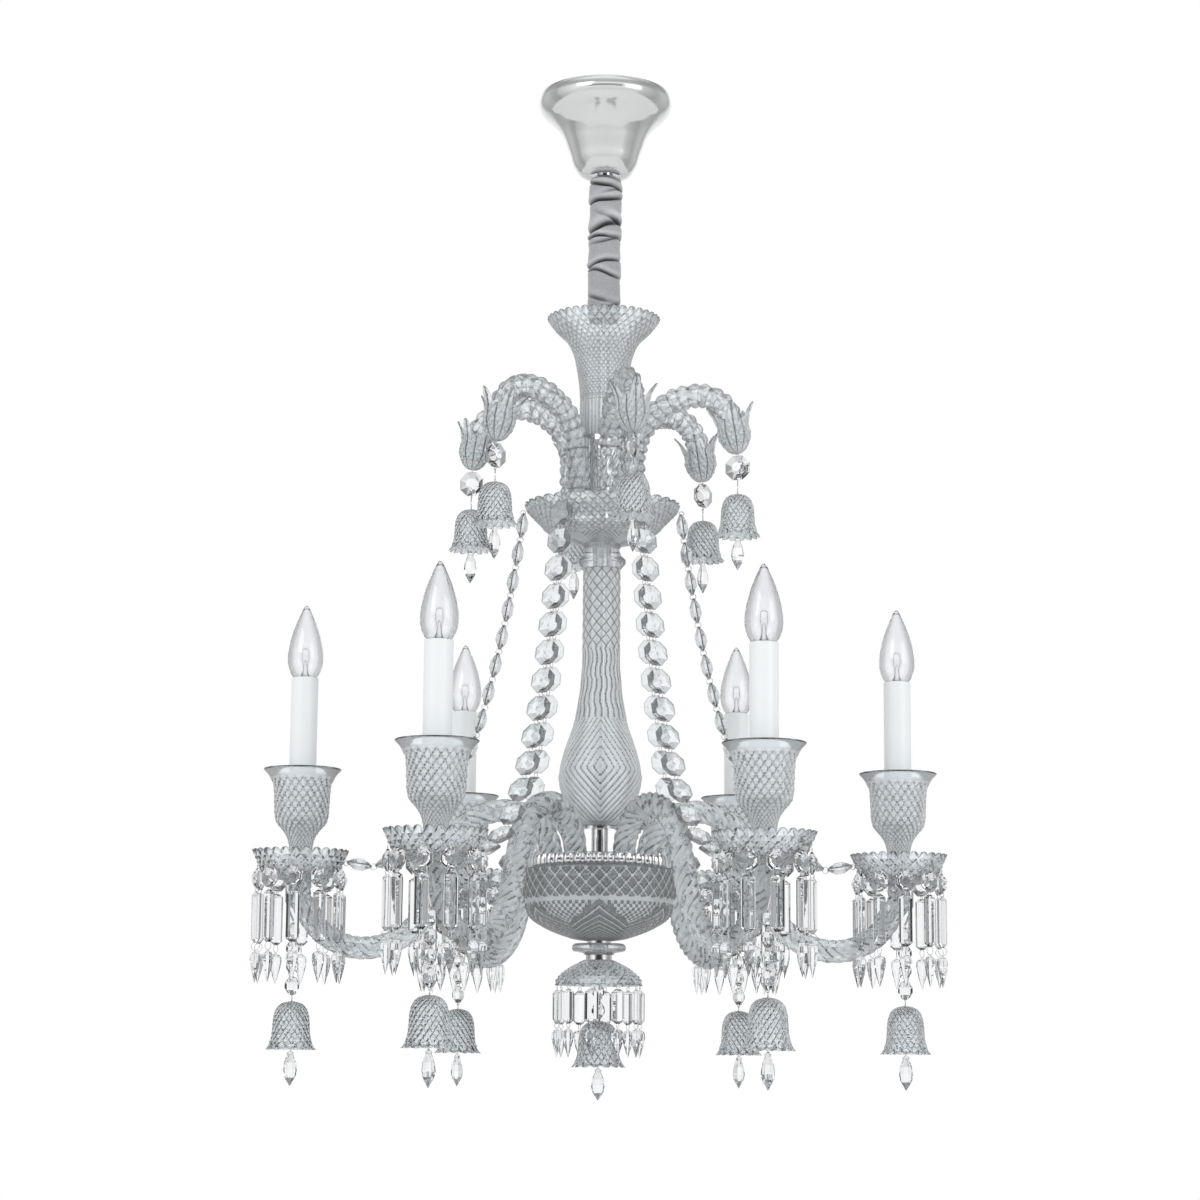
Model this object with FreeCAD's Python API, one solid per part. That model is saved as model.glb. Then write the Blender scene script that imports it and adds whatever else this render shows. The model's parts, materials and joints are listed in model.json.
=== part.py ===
import FreeCAD, Part
import math
import os

# Crystal chandelier, millimetres. Z is up, the ceiling is z = 0, everything hangs on the Z axis.
# Lower arms stand every 60 degrees from +X; heights below are named from the ceiling down.

V = FreeCAD.Vector
UP = V(0, 0, 1)
ORIGIN = V(0, 0, 0)

# Ceiling fitting
plate_r = 46.0
plate_t = 3.0
bolt_spacing = 60.0
bolt_hole_r = 2.75
stem_r = 5.0
stem_bore_r = 3.2
canopy_depth = 86.0
canopy_wall = 1.2
collar_r = 8.0
collar_h = 6.0
eye_ring_r = 6.5
eye_wire_r = 1.8
block_size = (24.0, 11.0, 12.0)

# Chain, its cable and its gathered sleeve
link_wire_r = 1.6
link_half_width = 5.5
link_length = 20.0
link_count = 7
link_play = 0.1
cable_r = 2.0
cable_play = 0.15
sleeve_play = 0.7
sleeve_mouth_play = 3.3
sleeve_cloth = 3.6
sleeve_fold = 1.3
sleeve_gap = 2.6
sleeve_overhang = 1.5

# Centre column
pipe_r = 6.0
pipe_bore_r = 4.4
seat = 0.15
glass_bore_r = 6.3
eye_collar_r = 8.5
eye_collar_h = 8.0
vase_height = 122.0
vase_rim_r = 57.0
vase_stem_r = 23.4
vase_wall = 4.0
vase_floor = 8.0
hub_flange_r = 21.0
hub_flange_h = 5.0
hub_core_r = 13.0
hub_core_h = 58.0
hub_plate_r = 45.0
hub_plate_h = 6.0
hub_stem_r = 11.0
dish_rim_r = 77.0
dish_depth = 39.0
dish_wall = 4.0
dish_floor = 6.0
dish_foot_r = 20.4
neck_h = 24.5
neck_r = 23.7
baluster_h = 253.5
baluster_belly_r = 40.5
baluster_neck_r = 18.7
baluster_wall = 5.5
plate_flange_r = 17.0
plate_flange_h = 3.0
plate_tube_r = 7.9
plate_tube_h = 26.0
arm_plate_r = 66.0
arm_plate_h = 13.0
socket_depth = 6.0
bowl_gap = 0.8
bowl_rim_r = 74.6
bowl_depth = 68.0
bowl_wall = 5.0
bowl_floor = 8.0
washer_h = 2.5
washer_r = 11.6
spool_r = 26.0
spool_h = 11.0
collar_ring_r = 12.6
collar_ring_h = 4.5
dome_r = 42.4
dome_h = 24.5
dome_wall = 3.6
nut_r = 8.0
nut_h = 11.0

# Lower arms and what they carry
arm_count = 6
arm_reach = 290.0
arm_foot_r = 47.0
arm_r = 11.0
arm_bore_r = 4.2
arm_rise_bend = 44.0
arm_over_bend = 60.0
arm_low_bend = 68.0
arm_up_bend = 60.0
arm_end_bend = 16.0
arm_end_straight = 12.0
rod_turn = 12.0
arm_fall_angle = 72.0
arm_climb_angle = 60.0
arm_end_z = -797.0
wire_r = 1.4
bobeche_r = 47.0
bobeche_depth = 28.0
bobeche_wall = 3.0
bobeche_floor = 3.5
cup_h = 105.0
cup_rim_r = 37.0
cup_body_r = 28.0
cup_neck_r = 11.2
cup_foot_r = 18.0
cup_wall = 3.4
cup_floor = 53.0
candle_r = 13.2
candle_wall = 1.4
candle_h = 141.0
nipple_r = 4.0
nipple_bore_r = 2.4
nipple_play = 0.2
holder_r = 11.6
holder_h = 38.0
holder_inset = 2.0
holder_web = 8.0
socket_r = 7.2
bulb_r = 17.5
bulb_glass_h = 72.0
bulb_cap_r = 6.95
bulb_cap_h = 24.0
bulb_wall = 0.9
bulb_seat = 0.3

# Hanging crystal
strand_count = 10
strand_half_gap = 22.0
strand_bead_w = 21.0
strand_prism_w = 12.5
strand_prism_h = 50.0
strand_spear_w = 12.5
strand_spear_h = 30.0
strand_flat = 0.7
dome_strand_r = 40.4
dome_prism_h = 33.0
dome_spear_h = 27.0
garland_count = 15
garland_pitch = 28.4
garland_bead_w = 23.0
garland_flat = 0.48
garland_play = 0.7
hook_out = 13.0
hook_in = 5.0
hook_r = 1.0
hook_drop = 20.0
hook_low = 39.0
bell_play = 0.4

# Upper arms and tulips
upper_count = 6
upper_turn = -18.0
upper_foot_r = 32.0
upper_rise = 36.0
upper_crest_r = 96.0
upper_tip_bend = 38.0
upper_tip_angle = 80.0
upper_tip_straight = 20.0
upper_arm_r = 12.5
tulip_r = 17.0
tulip_tip_r = 23.0
tulip_up = 37.0
tulip_down = 10.0

# Heights that follow from the sizes above
loop_z = -canopy_depth - collar_h - eye_ring_r
loop_low_z = loop_z - eye_ring_r
top_link_z = loop_low_z + eye_wire_r + link_wire_r + link_play
link_step = link_length - 2 * link_wire_r - link_play
last_link_low_z = top_link_z - link_length - link_count * link_step
eye_top_z = last_link_low_z + link_wire_r + eye_wire_r + link_play
eye_z = eye_top_z - eye_ring_r
eye_collar_top_z = eye_z - eye_ring_r - 1.0
pipe_top_z = eye_collar_top_z - 3.0
vase_top_z = eye_top_z + 0.5
vase_low_z = vase_top_z - vase_height
hub_plate_top_z = vase_low_z - hub_flange_h - hub_core_h
hub_plate_low_z = hub_plate_top_z - hub_plate_h
dish_top_z = hub_plate_low_z
dish_low_z = dish_top_z - dish_depth
neck_low_z = dish_low_z - neck_h
baluster_low_z = neck_low_z - baluster_h
arm_plate_top_z = baluster_low_z - plate_flange_h - plate_tube_h
arm_plate_low_z = arm_plate_top_z - arm_plate_h
bowl_top_z = arm_plate_low_z - bowl_gap
bowl_low_z = bowl_top_z - bowl_depth
spool_top_z = bowl_low_z - washer_h
spool_low_z = spool_top_z - spool_h
dome_top_z = spool_low_z - collar_ring_h
dome_low_z = dome_top_z - dome_h
nut_top_z = dome_top_z - dome_wall
nut_low_z = nut_top_z - nut_h
pipe_low_z = nut_top_z - nut_h + 4.0
arm_foot_z = arm_plate_top_z - socket_depth
bobeche_top_z = arm_end_z + bobeche_depth
cup_low_z = arm_end_z + bobeche_floor
cup_floor_z = cup_low_z + cup_floor
candle_top_z = cup_floor_z + candle_h
holder_top_z = candle_top_z - holder_inset
holder_low_z = holder_top_z - holder_h
upper_crest_bend = upper_crest_r - upper_foot_r
cable_offset = (link_wire_r + cable_r + cable_play) * math.sqrt(2)
sleeve_bore_r = max(link_half_width + link_wire_r, cable_offset + cable_r) + sleeve_play
sleeve_mouth_r = max(eye_ring_r + eye_wire_r, collar_r) + sleeve_mouth_play
sleeve_r = sleeve_mouth_r + sleeve_cloth


def save(node, shapes):
    """Write one node, one shape or a list of them."""
    if isinstance(shapes, list):
        shapes = Part.makeCompound(shapes)
    shapes.exportStep("parts/" + node + ".step")


def around(shape, count, first=0.0):
    """Copies of a shape turned evenly about the Z axis."""
    copies = []
    for k in range(count):
        turned = shape.copy()
        turned.rotate(ORIGIN, UP, first + 360.0 * k / count)
        copies.append(turned)
    return copies


def moved(shape, x, z):
    """A copy of a shape shifted to radius x and height z."""
    copy = shape.copy()
    copy.translate(V(x, 0, z))
    return copy


def spun(points):
    """A solid of revolution from (radius, height) corners."""
    corners = [V(r, 0, z) for r, z in points]
    outline = Part.makePolygon(corners + [corners[0]])
    return Part.Face(outline).revolve(ORIGIN, UP, 360)


def spun_curves(outer, inner):
    """A turned shell between two smooth (radius, height) curves that run the same way."""
    curves = []
    for points in (outer, inner):
        curve = Part.BSplineCurve()
        curve.interpolate([V(r, 0, z) for r, z in points])
        curves.append(curve.toShape())
    start = Part.makeLine(V(outer[0][0], 0, outer[0][1]), V(inner[0][0], 0, inner[0][1]))
    end = Part.makeLine(V(outer[-1][0], 0, outer[-1][1]), V(inner[-1][0], 0, inner[-1][1]))
    outline = Part.Wire(Part.__sortEdges__([curves[0], end, curves[1], start]))
    return Part.Face(outline).revolve(ORIGIN, UP, 360)


def inset(points, wall):
    """(radius, height) points moved inwards by a wall, square to the curve they follow."""
    result = []
    for k in range(len(points)):
        a = points[max(k - 1, 0)]
        b = points[min(k + 1, len(points) - 1)]
        run = b[0] - a[0]
        rise = b[1] - a[1]
        size = math.hypot(run, rise)
        result.append((points[k][0] + wall * rise / size, points[k][1] - wall * run / size))
    return result


def ring(count, radius, z, lobes=0, swell=0.0, lift=0.0):
    """Corners of a level polygon; lobes make its radius swell and its edge lift in waves."""
    corners = []
    for k in range(count):
        angle = 2 * math.pi * k / count
        wave = math.cos(lobes * angle)
        r = radius + swell * wave
        corners.append(V(r * math.cos(angle), r * math.sin(angle), z + lift * wave))
    return corners


def flat(points):
    """True where the points lie in one plane."""
    normal = (points[1] - points[0]).cross(points[2] - points[0])
    return all(abs((p - points[0]).dot(normal)) < 1e-5 * normal.Length for p in points[3:])


def facet(points):
    """A flat face through its corners."""
    return Part.Face(Part.makePolygon(points + [points[0]]))


def band(low, high):
    """Faces between two rings of equal count."""
    faces = []
    count = len(low)
    for k in range(count):
        n = (k + 1) % count
        corners = [low[k], low[n], high[n], high[k]]
        if flat(corners):
            faces.append(facet(corners))
        else:
            faces.append(facet([low[k], low[n], high[n]]))
            faces.append(facet([low[k], high[n], high[k]]))
    return faces


def point_fan(corners, tip):
    """Faces from a ring to one point."""
    return [facet([corners[k], corners[(k + 1) % len(corners)], tip]) for k in range(len(corners))]


def skin(rings, joined=False, tip=None):
    """A closed faceted solid over rings: capped, ended in a tip, or joined last to first."""
    faces = []
    for low, high in zip(rings, rings[1:]):
        faces += band(low, high)
    if joined:
        faces += band(rings[-1], rings[0])
    else:
        faces.append(facet(rings[0]))
        if tip is None:
            faces.append(facet(rings[-1]))
        else:
            faces += point_fan(rings[-1], tip)
    shell = Part.makeShell(faces)
    shell.sewShape()
    solid = Part.makeSolid(shell)
    if solid.Volume < 0:
        solid.reverse()
    return solid


def vessel(count, outer, inner, bore=0.0, lobes=0, swell=0.0, lift=0.0):
    """A faceted glass vessel; outer runs foot to rim, inner rim to floor, and the rim is scalloped."""
    rings = []
    if bore:
        rings.append(ring(count, bore, outer[0][1]))
    for r, z in outer[:-1]:
        rings.append(ring(count, r, z))
    rings.append(ring(count, outer[-1][0], outer[-1][1], lobes, swell, lift))
    rings.append(ring(count, inner[0][0], inner[0][1], lobes, swell, lift))
    for r, z in inner[1:]:
        rings.append(ring(count, r, z))
    if bore:
        rings.append(ring(count, bore, inner[-1][1]))
    return skin(rings, joined=bool(bore))


def gem(rows, flatness, sides=6, tip=None):
    """A cut crystal along Z from rows of (height, half width), thinner in Y by its flatness."""
    rings = []
    for z, half in rows:
        corners = ring(sides, half, z)
        rings.append([V(p.x, p.y * flatness, p.z) for p in corners])
    return skin(rings, tip=tip)


def drawn_path(r, z, heading, steps):
    """Tangent lines (length, None) and bends (radius, turn) in the XZ plane, and where they end."""
    edges = []
    for size, turn in steps:
        across = math.radians(heading)
        start = V(r, 0, z)
        if turn is None:
            end = start + V(math.cos(across), 0, math.sin(across)) * size
            edges.append(Part.makeLine(start, end))
        else:
            side = 1.0 if turn > 0 else -1.0
            centre = start + V(-math.sin(across), 0, math.cos(across)) * size * side
            points = []
            for part in (0.5, 1.0):
                angle = math.radians(heading + turn * part)
                points.append(centre - V(-math.sin(angle), 0, math.cos(angle)) * size * side)
            edges.append(Part.Arc(start, points[0], points[1]).toShape())
            end = points[1]
            heading += turn
        r = end.x
        z = end.z
    return Part.Wire(edges), end, heading


def swept(path, start, direction, radius, bore=0.0):
    """A round rod, or a tube where it has a bore, along a path."""
    outline = Part.Wire(Part.makeCircle(radius, start, direction))
    face = Part.Face(outline)
    if bore:
        hole = Part.Wire(Part.makeCircle(bore, start, direction))
        face = Part.Face([outline, hole])
    return path.makePipe(face)


def rod(r, z, steps, radius, bore=0.0):
    """A twelve-sided rod, or a tube where it has a bore, that starts upwards along lines and bends."""
    stations = [(r, z, 90.0)]
    for size, turn in steps:
        x, y, heading = stations[-1]
        across = math.radians(heading)
        if turn is None:
            stations.append((x + size * math.cos(across), y + size * math.sin(across), heading))
            continue
        side = size if turn > 0 else -size
        pivot = (x - math.sin(across) * side, y + math.cos(across) * side)
        parts = max(2, round(abs(turn) / rod_turn))
        for k in range(1, parts + 1):
            angle = math.radians(heading + turn * k / parts)
            point = (pivot[0] + math.sin(angle) * side, pivot[1] - math.cos(angle) * side)
            stations.append((point[0], point[1], heading + turn * k / parts))
    rings = [cross_ring(station, radius) for station in stations]
    if bore:
        rings += [cross_ring(station, bore / math.cos(math.pi / 12)) for station in stations[::-1]]
    return skin(rings, joined=bool(bore))


def cross_ring(station, radius):
    """Corners of a twelve-sided section square to a path's heading."""
    x, z, heading = station
    across = math.radians(heading)
    corners = []
    for k in range(12):
        angle = math.pi * k / 6
        out = radius * math.cos(angle)
        corners.append(V(x - math.sin(across) * out, radius * math.sin(angle), z + math.cos(across) * out))
    return corners


def chain_link():
    """One closed oval link in the XZ plane, its upper bend at z = 0."""
    bend = link_half_width
    straight = link_length - 2 * bend
    steps = [(straight, None), (bend, 180), (straight, None), (bend, 180)]
    path = drawn_path(bend, -link_length + bend, 90, steps)[0]
    return swept(path, V(bend, 0, -link_length + bend), UP, link_wire_r)


def eye(z, turned=False):
    """A round wire eye standing at height z, in the XZ plane or turned into the YZ plane."""
    side = V(1, 0, 0) if turned else V(0, 1, 0)
    return Part.makeTorus(eye_ring_r, eye_wire_r, V(0, 0, z), side)


def ceiling_plate():
    """Ceiling plate with its hollow stem and two bolt holes."""
    body = Part.makeCylinder(plate_r, plate_t, V(0, 0, -plate_t))
    stem = Part.makeCylinder(stem_r, canopy_depth + collar_h - 2.5, V(0, 0, -canopy_depth - collar_h + 2.5))
    body = body.fuse(stem).removeSplitter()
    body = body.cut(Part.makeCylinder(stem_bore_r, canopy_depth + collar_h, V(0, 0, -canopy_depth - collar_h)))
    for x in (-bolt_spacing / 2, bolt_spacing / 2):
        body = body.cut(Part.makeCylinder(bolt_hole_r, plate_t + 2, V(x, 0, -plate_t - 1)))
    return body


def canopy():
    """Bell-shaped ceiling cup with a rolled lip."""
    low = -canopy_depth
    bore = stem_r + seat
    outer = [(19.0, low), (27.0, low + 4.0), (32.0, low + 12.0), (35.0, low + 22.0)]
    outer += [(39.5, low + 33.0), (41.5, low + 40.0), (46.0, low + 48.0), (54.0, low + 57.0)]
    outer += [(61.5, low + 64.0), (66.0, low + 71.0), (67.0, low + 78.0), (65.0, low + 84.0)]
    walls = inset(outer, -canopy_wall)[::-1]
    rows = [(bore, low)] + outer + [(64.0, 0.0), (62.0, 0.0)] + walls[:-1]
    rows += [(18.4, low + canopy_wall), (bore, low + canopy_wall)]
    return skin([ring(40, r, z) for r, z in rows], joined=True)


def canopy_loop():
    """Knurled collar that holds the canopy up, with the eye for the chain."""
    low = -canopy_depth - collar_h
    body = spun([(0, low), (collar_r, low), (collar_r, -canopy_depth), (0, -canopy_depth)])
    body = body.fuse(eye(loop_z))
    return body.cut(Part.makeCylinder(stem_r + seat, collar_h - 2.3, V(0, 0, -canopy_depth - collar_h + 2.3)))


def terminal_block():
    """Insulated terminal block under the ceiling plate."""
    long, wide, tall = block_size
    body = Part.makeBox(long, wide, tall, V(-long / 2, stem_r + 6.0, -plate_t - tall))
    for k in (-1, 0, 1):
        middle = stem_r + 6.0
        tunnel = Part.makeCylinder(1.9, wide + 2, V(k * 7.5, middle - 1, -plate_t - tall / 2), V(0, 1, 0))
        body = body.cut(tunnel)
    return body


def chain_links():
    """The links below the top one, each a quarter turn from the last."""
    links = []
    for k in range(1, link_count + 1):
        link = chain_link()
        if k % 2 == 0:
            link.rotate(ORIGIN, UP, 90)
        link.translate(V(0, 0, top_link_z - k * link_step))
        links.append(link)
    return links


def power_cable():
    """Flex beside the chain, between its links and the sleeve."""
    top = top_link_z - link_length - link_wire_r - 1.0
    low = eye_top_z + 3.0
    corner = cable_offset * math.cos(math.radians(45))
    body = Part.makeCylinder(cable_r, top - low, V(corner, corner, low))
    return body


def chain_sleeve():
    """Gathered velvet sleeve over the chain, its folds winding around it."""
    top = -canopy_depth - sleeve_gap
    low = eye_top_z - sleeve_overhang
    rows = 20
    count = 20
    rings = []
    for j in range(rows + 1):
        z = top + (low - top) * j / rows
        corners = []
        for k in range(count):
            angle = 2 * math.pi * k / count
            deep = math.sin(angle + (z - top) / 7.5) + 0.6 * math.sin(2 * angle - (z - top) / 5.5)
            r = sleeve_r + sleeve_fold * deep + 0.6 * math.sin((z - top) / 6.0)
            corners.append(V(r * math.cos(angle), r * math.sin(angle), z))
        rings.append(corners)
    rings.append(ring(count, sleeve_bore_r, low))
    rings.append(ring(count, sleeve_bore_r, loop_low_z - 9.0))
    rings.append(ring(count, sleeve_mouth_r, loop_low_z - 3.0))
    rings.append(ring(count, sleeve_mouth_r, top))
    return skin(rings, joined=True)


def top_eye():
    """Eye nut at the head of the centre pipe, turned a quarter from the last link."""
    low = eye_collar_top_z - eye_collar_h
    top = eye_collar_top_z + 1.5
    body = spun([(0, low), (eye_collar_r, low), (eye_collar_r, eye_collar_top_z), (5.0, top), (0, top)])
    body = body.fuse(eye(eye_z, turned=link_count % 2 == 1))
    return body.cut(Part.makeCylinder(pipe_r + seat, pipe_top_z - low + seat, V(0, 0, low)))


def centre_pipe():
    """Hollow pipe that clamps the whole column together."""
    return spun([(pipe_bore_r, pipe_low_z), (pipe_r, pipe_low_z), (pipe_r, pipe_top_z), (pipe_bore_r, pipe_top_z)])


def top_vase():
    """Trumpet vase with a scalloped rim, ribbed below."""
    low = vase_low_z
    shape = [(vase_stem_r - 1.0, 0), (vase_stem_r, 5), (vase_stem_r, 41), (vase_stem_r + 1, 54)]
    shape += [(vase_stem_r + 3, 68), (vase_stem_r + 6.4, 84), (vase_stem_r + 13, 98)]
    shape += [(vase_stem_r + 25, 109), (vase_rim_r, vase_height)]
    outer = [(r, low + z) for r, z in shape]
    hollow = inset(outer, -vase_wall)[::-1]
    inner = [(vase_rim_r - vase_wall, vase_top_z)] + hollow[1:-2] + [(vase_stem_r - vase_wall - 1, low + vase_floor)]
    return vessel(32, outer, inner, glass_bore_r, 16, 0.8, 1.6)


def upper_hub():
    """Turned metal hub that carries the upper arms and stands in the dish."""
    top = vase_low_z
    core_top = top - hub_flange_h
    floor = dish_low_z + dish_floor
    points = [(pipe_r + seat, top), (hub_flange_r, top), (hub_flange_r, core_top), (hub_core_r, core_top)]
    points += [(hub_core_r, hub_plate_top_z), (hub_plate_r, hub_plate_top_z), (hub_plate_r, hub_plate_low_z)]
    points += [(hub_stem_r, hub_plate_low_z), (hub_stem_r, floor), (pipe_r + seat, floor)]
    return spun(points)


def upper_arm_steps():
    """Lines and bends of an upper arm."""
    steps = [(upper_rise, None), (upper_crest_bend, -90), (upper_tip_bend, -upper_tip_angle)]
    return steps + [(upper_tip_straight, None)]


def upper_arm_end():
    """Where an upper arm's centre line ends."""
    return drawn_path(upper_foot_r, hub_plate_top_z, 90, upper_arm_steps())[1]


def upper_arm():
    """One curling upper arm."""
    return rod(upper_foot_r, hub_plate_top_z, upper_arm_steps(), upper_arm_r)


def tulip():
    """Flower cup round an upper arm's end, with five curled petals."""
    count = 20
    bore = upper_arm_r + seat
    rings = [ring(count, 3.0, -tulip_down), ring(count, 8.5, -tulip_down + 3), ring(count, tulip_r - 2, 1)]
    rings += [ring(count, tulip_r, 10), ring(count, tulip_r - 0.5, 20, 5, 0.5, 0)]
    rings.append(ring(count, tulip_tip_r - 4, tulip_up - 7, 5, 4, 7))
    rings.append(ring(count, tulip_tip_r - 6, tulip_up - 6.5, 5, 3.6, 6.5))
    rings += [ring(count, tulip_r - 2.4, 21), ring(count, bore + 0.8, 12), ring(count, bore + 0.2, 0)]
    return skin(rings)


def placed_tulip():
    """The tulip set on the end of an upper arm, along its last heading."""
    end = upper_arm_end()
    body = tulip()
    body.rotate(ORIGIN, V(0, 1, 0), -(90.0 - upper_tip_angle))
    body.translate(end)
    return body


def tulip_tip():
    """Lowest point of a tulip's foot."""
    end = upper_arm_end()
    lean = math.radians(90.0 - upper_tip_angle)
    return end + V(math.sin(lean), 0, -math.cos(lean)) * tulip_down


def upper_dish():
    """Wide scalloped dish under the upper arms."""
    low = dish_low_z
    shape = [(dish_foot_r, 0), (45.0, 6.5), (52.0, 11), (58.0, 15), (61.0, 19), (69.0, 27), (76.0, 34)]
    outer = [(r, low + z) for r, z in shape] + [(dish_rim_r, dish_top_z)]
    hollow = inset(outer, -dish_wall)[::-1]
    inner = [(dish_rim_r - dish_wall, dish_top_z)] + hollow[1:-1] + [(dish_foot_r - 2, low + dish_floor)]
    return vessel(48, outer, inner, glass_bore_r, 24, 0.8, 1.3)


def neck_ring():
    """Cut glass knop between the dish and the baluster."""
    low = neck_low_z
    rows = [(glass_bore_r, low), (baluster_neck_r, low), (neck_r, low + 7), (neck_r, low + 10)]
    rows += [(17.0, low + 20), (dish_foot_r - 0.4, dish_low_z), (glass_bore_r, dish_low_z)]
    return skin([ring(24, r, z) for r, z in rows], joined=True)


def baluster():
    """Long hollow cut-glass baluster, swelling low down."""
    low = baluster_low_z
    belly = baluster_belly_r
    neck = baluster_neck_r
    shape = [(20.0, 0), (26.5, 3), (32.5, 17), (belly - 2, 35), (belly, 44), (belly, 50), (belly - 3, 66)]
    shape += [(belly - 8, 82), (belly - 13.5, 98), (belly - 16.5, 113), (belly - 19.5, 131)]
    shape += [(neck + 1, 147), (neck, 160), (neck, baluster_h)]
    outer = [(r, low + z) for r, z in shape]
    hollow = [(r - baluster_wall, z) for r, z in outer[2:-1]][::-1]
    rows = outer + [(glass_bore_r, neck_low_z), (glass_bore_r, neck_low_z - 12), (neck - baluster_wall, neck_low_z - 20)]
    rows += hollow + [(glass_bore_r + 4, low + 4), (glass_bore_r + 2.5, low)]
    return skin([ring(24, r, z) for r, z in rows], joined=True)


def arm_plate():
    """Tube, plated disc with a socket for each lower arm, and the stem into the bowl."""
    top = baluster_low_z
    bore = pipe_r + seat
    floor = bowl_low_z + bowl_floor
    points = [(bore, top), (plate_flange_r, top), (plate_flange_r, top - plate_flange_h)]
    points += [(plate_tube_r, top - plate_flange_h), (plate_tube_r, arm_plate_top_z)]
    tube = spun(points + [(bore, arm_plate_top_z)])
    low = arm_plate_low_z
    body = spun([(bore, arm_plate_top_z), (arm_plate_r, arm_plate_top_z), (arm_plate_r, low), (bore, low)])
    stem = spun([(bore, arm_plate_low_z), (9.5, arm_plate_low_z), (9.5, floor), (bore, floor)])
    socket = Part.makeCylinder(arm_r + seat, socket_depth + 1, V(arm_foot_r, 0, arm_foot_z))
    hole = Part.makeCylinder(arm_bore_r, arm_plate_h, V(arm_foot_r, 0, arm_plate_low_z - 1))
    body = body.cut(around(socket, arm_count) + around(hole, arm_count))
    return [tube, body, stem]


def main_bowl():
    """Deep cut-glass bowl under the arm plate."""
    low = bowl_low_z
    shape = [(13.0, 0), (29.4, 3), (45.0, 8.5), (57.0, 14.5), (66.0, 20), (71.0, 29), (74.0, 46)]
    outer = [(r, low + z) for r, z in shape] + [(bowl_rim_r, bowl_top_z)]
    hollow = inset(outer, -bowl_wall)[::-1]
    inner = [(bowl_rim_r - bowl_wall, bowl_top_z)] + hollow[1:-2] + [(24.0, low + bowl_floor)]
    return vessel(40, outer, inner, glass_bore_r)


def spool_rings():
    """Two plated rings above and below the glass spool."""
    bore = pipe_r + seat
    high = spun([(bore, spool_top_z), (washer_r, spool_top_z), (washer_r, bowl_low_z), (bore, bowl_low_z)])
    rows = [(bore, dome_top_z), (collar_ring_r, dome_top_z), (collar_ring_r, spool_low_z), (bore, spool_low_z)]
    return [high, spun(rows)]


def bowl_spool():
    """Glass disc that tapers to its lower ring."""
    low = spool_low_z
    rows = [(glass_bore_r, low), (13.5, low), (spool_r - 1.5, low + 3.5), (spool_r, low + 5)]
    rows += [(spool_r, low + 9), (spool_r - 2, spool_top_z), (glass_bore_r, spool_top_z)]
    return skin([ring(24, r, z) for r, z in rows], joined=True)


def bottom_dome():
    """Cut-glass dome, open below, that carries the short strands."""
    low = dome_low_z
    outer = [(dome_r, low), (dome_r, low + 4), (41.0, low + 6.5), (38.0, low + 10), (34.5, low + 13)]
    outer += [(27.5, low + 18), (21.0, low + 21.5), (14.0, dome_top_z)]
    walls = inset(outer, -dome_wall)
    rows = outer + [(glass_bore_r, dome_top_z), (glass_bore_r, nut_top_z), (13.0, nut_top_z)]
    rows += walls[1:-1][::-1] + [(dome_r - dome_wall, low)]
    return skin([ring(40, r, z) for r, z in rows], joined=True)


def finial_nut():
    """Domed nut that closes the column, with a small eye for the middle bell."""
    low = nut_low_z
    body = spun([(0, low), (4.0, low), (nut_r, low + 5), (nut_r, nut_top_z), (0, nut_top_z)])
    body = body.cut(Part.makeCylinder(pipe_r + seat, nut_top_z - pipe_low_z + seat, V(0, 0, pipe_low_z - seat)))
    return body.fuse(Part.makeTorus(3.0, 1.0, V(0, 0, low - 3.2), V(0, 1, 0)))


def arm_steps():
    """Lines and bends of a lower arm; the two free lengths close it onto its end point."""
    fall = math.radians(arm_fall_angle)
    climb = math.radians(arm_climb_angle)
    run = arm_rise_bend + (arm_over_bend + arm_low_bend) * math.sin(fall) + arm_up_bend * math.sin(climb)
    run = arm_reach - arm_foot_r - run - arm_end_bend * (1 - math.sin(climb))
    rise = socket_depth + arm_rise_bend - (arm_over_bend + arm_low_bend) * (1 - math.cos(fall))
    rise += arm_up_bend * (1 - math.cos(climb)) + arm_end_bend * math.cos(climb) + arm_end_straight
    rise = arm_end_z - arm_foot_z - rise
    spread = math.cos(fall) * math.sin(climb) + math.sin(fall) * math.cos(climb)
    down = (run * math.sin(climb) - rise * math.cos(climb)) / spread
    out = (rise * math.cos(fall) + run * math.sin(fall)) / spread
    steps = [(socket_depth, None), (arm_rise_bend, -90), (arm_over_bend, -arm_fall_angle), (down, None)]
    steps += [(arm_low_bend, arm_fall_angle), (arm_up_bend, arm_climb_angle), (out, None)]
    return steps + [(arm_end_bend, 90 - arm_climb_angle), (arm_end_straight, None)]


def lower_arm():
    """One hollow lower arm."""
    return rod(arm_foot_r, arm_foot_z, arm_steps(), arm_r, arm_bore_r)


def lamp_wire():
    """Flex from the arm plate through an arm and its nipple to the lamp holder."""
    rise = holder_low_z + holder_web / 2 - arm_end_z
    steps = arm_steps()[:-1] + [(arm_end_straight + rise, None)]
    path = drawn_path(arm_foot_r, arm_foot_z, 90, steps)[0]
    return swept(path, V(arm_foot_r, 0, arm_foot_z), UP, wire_r)


def bobeche():
    """Scalloped drip pan at an arm's end."""
    low = arm_end_z
    shape = [(16.0, 0), (28.0, 2), (36.5, 6), (40.5, 13), (43.5, 20), (bobeche_r, bobeche_depth)]
    outer = [(r, low + z) for r, z in shape]
    hollow = inset(outer, -bobeche_wall)[::-1]
    inner = [(bobeche_r - bobeche_wall, bobeche_top_z)] + hollow[1:-2] + [(24.0, low + bobeche_floor)]
    return vessel(40, outer, inner, nipple_r + 0.3, 20, 0.9, 1.6)


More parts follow.
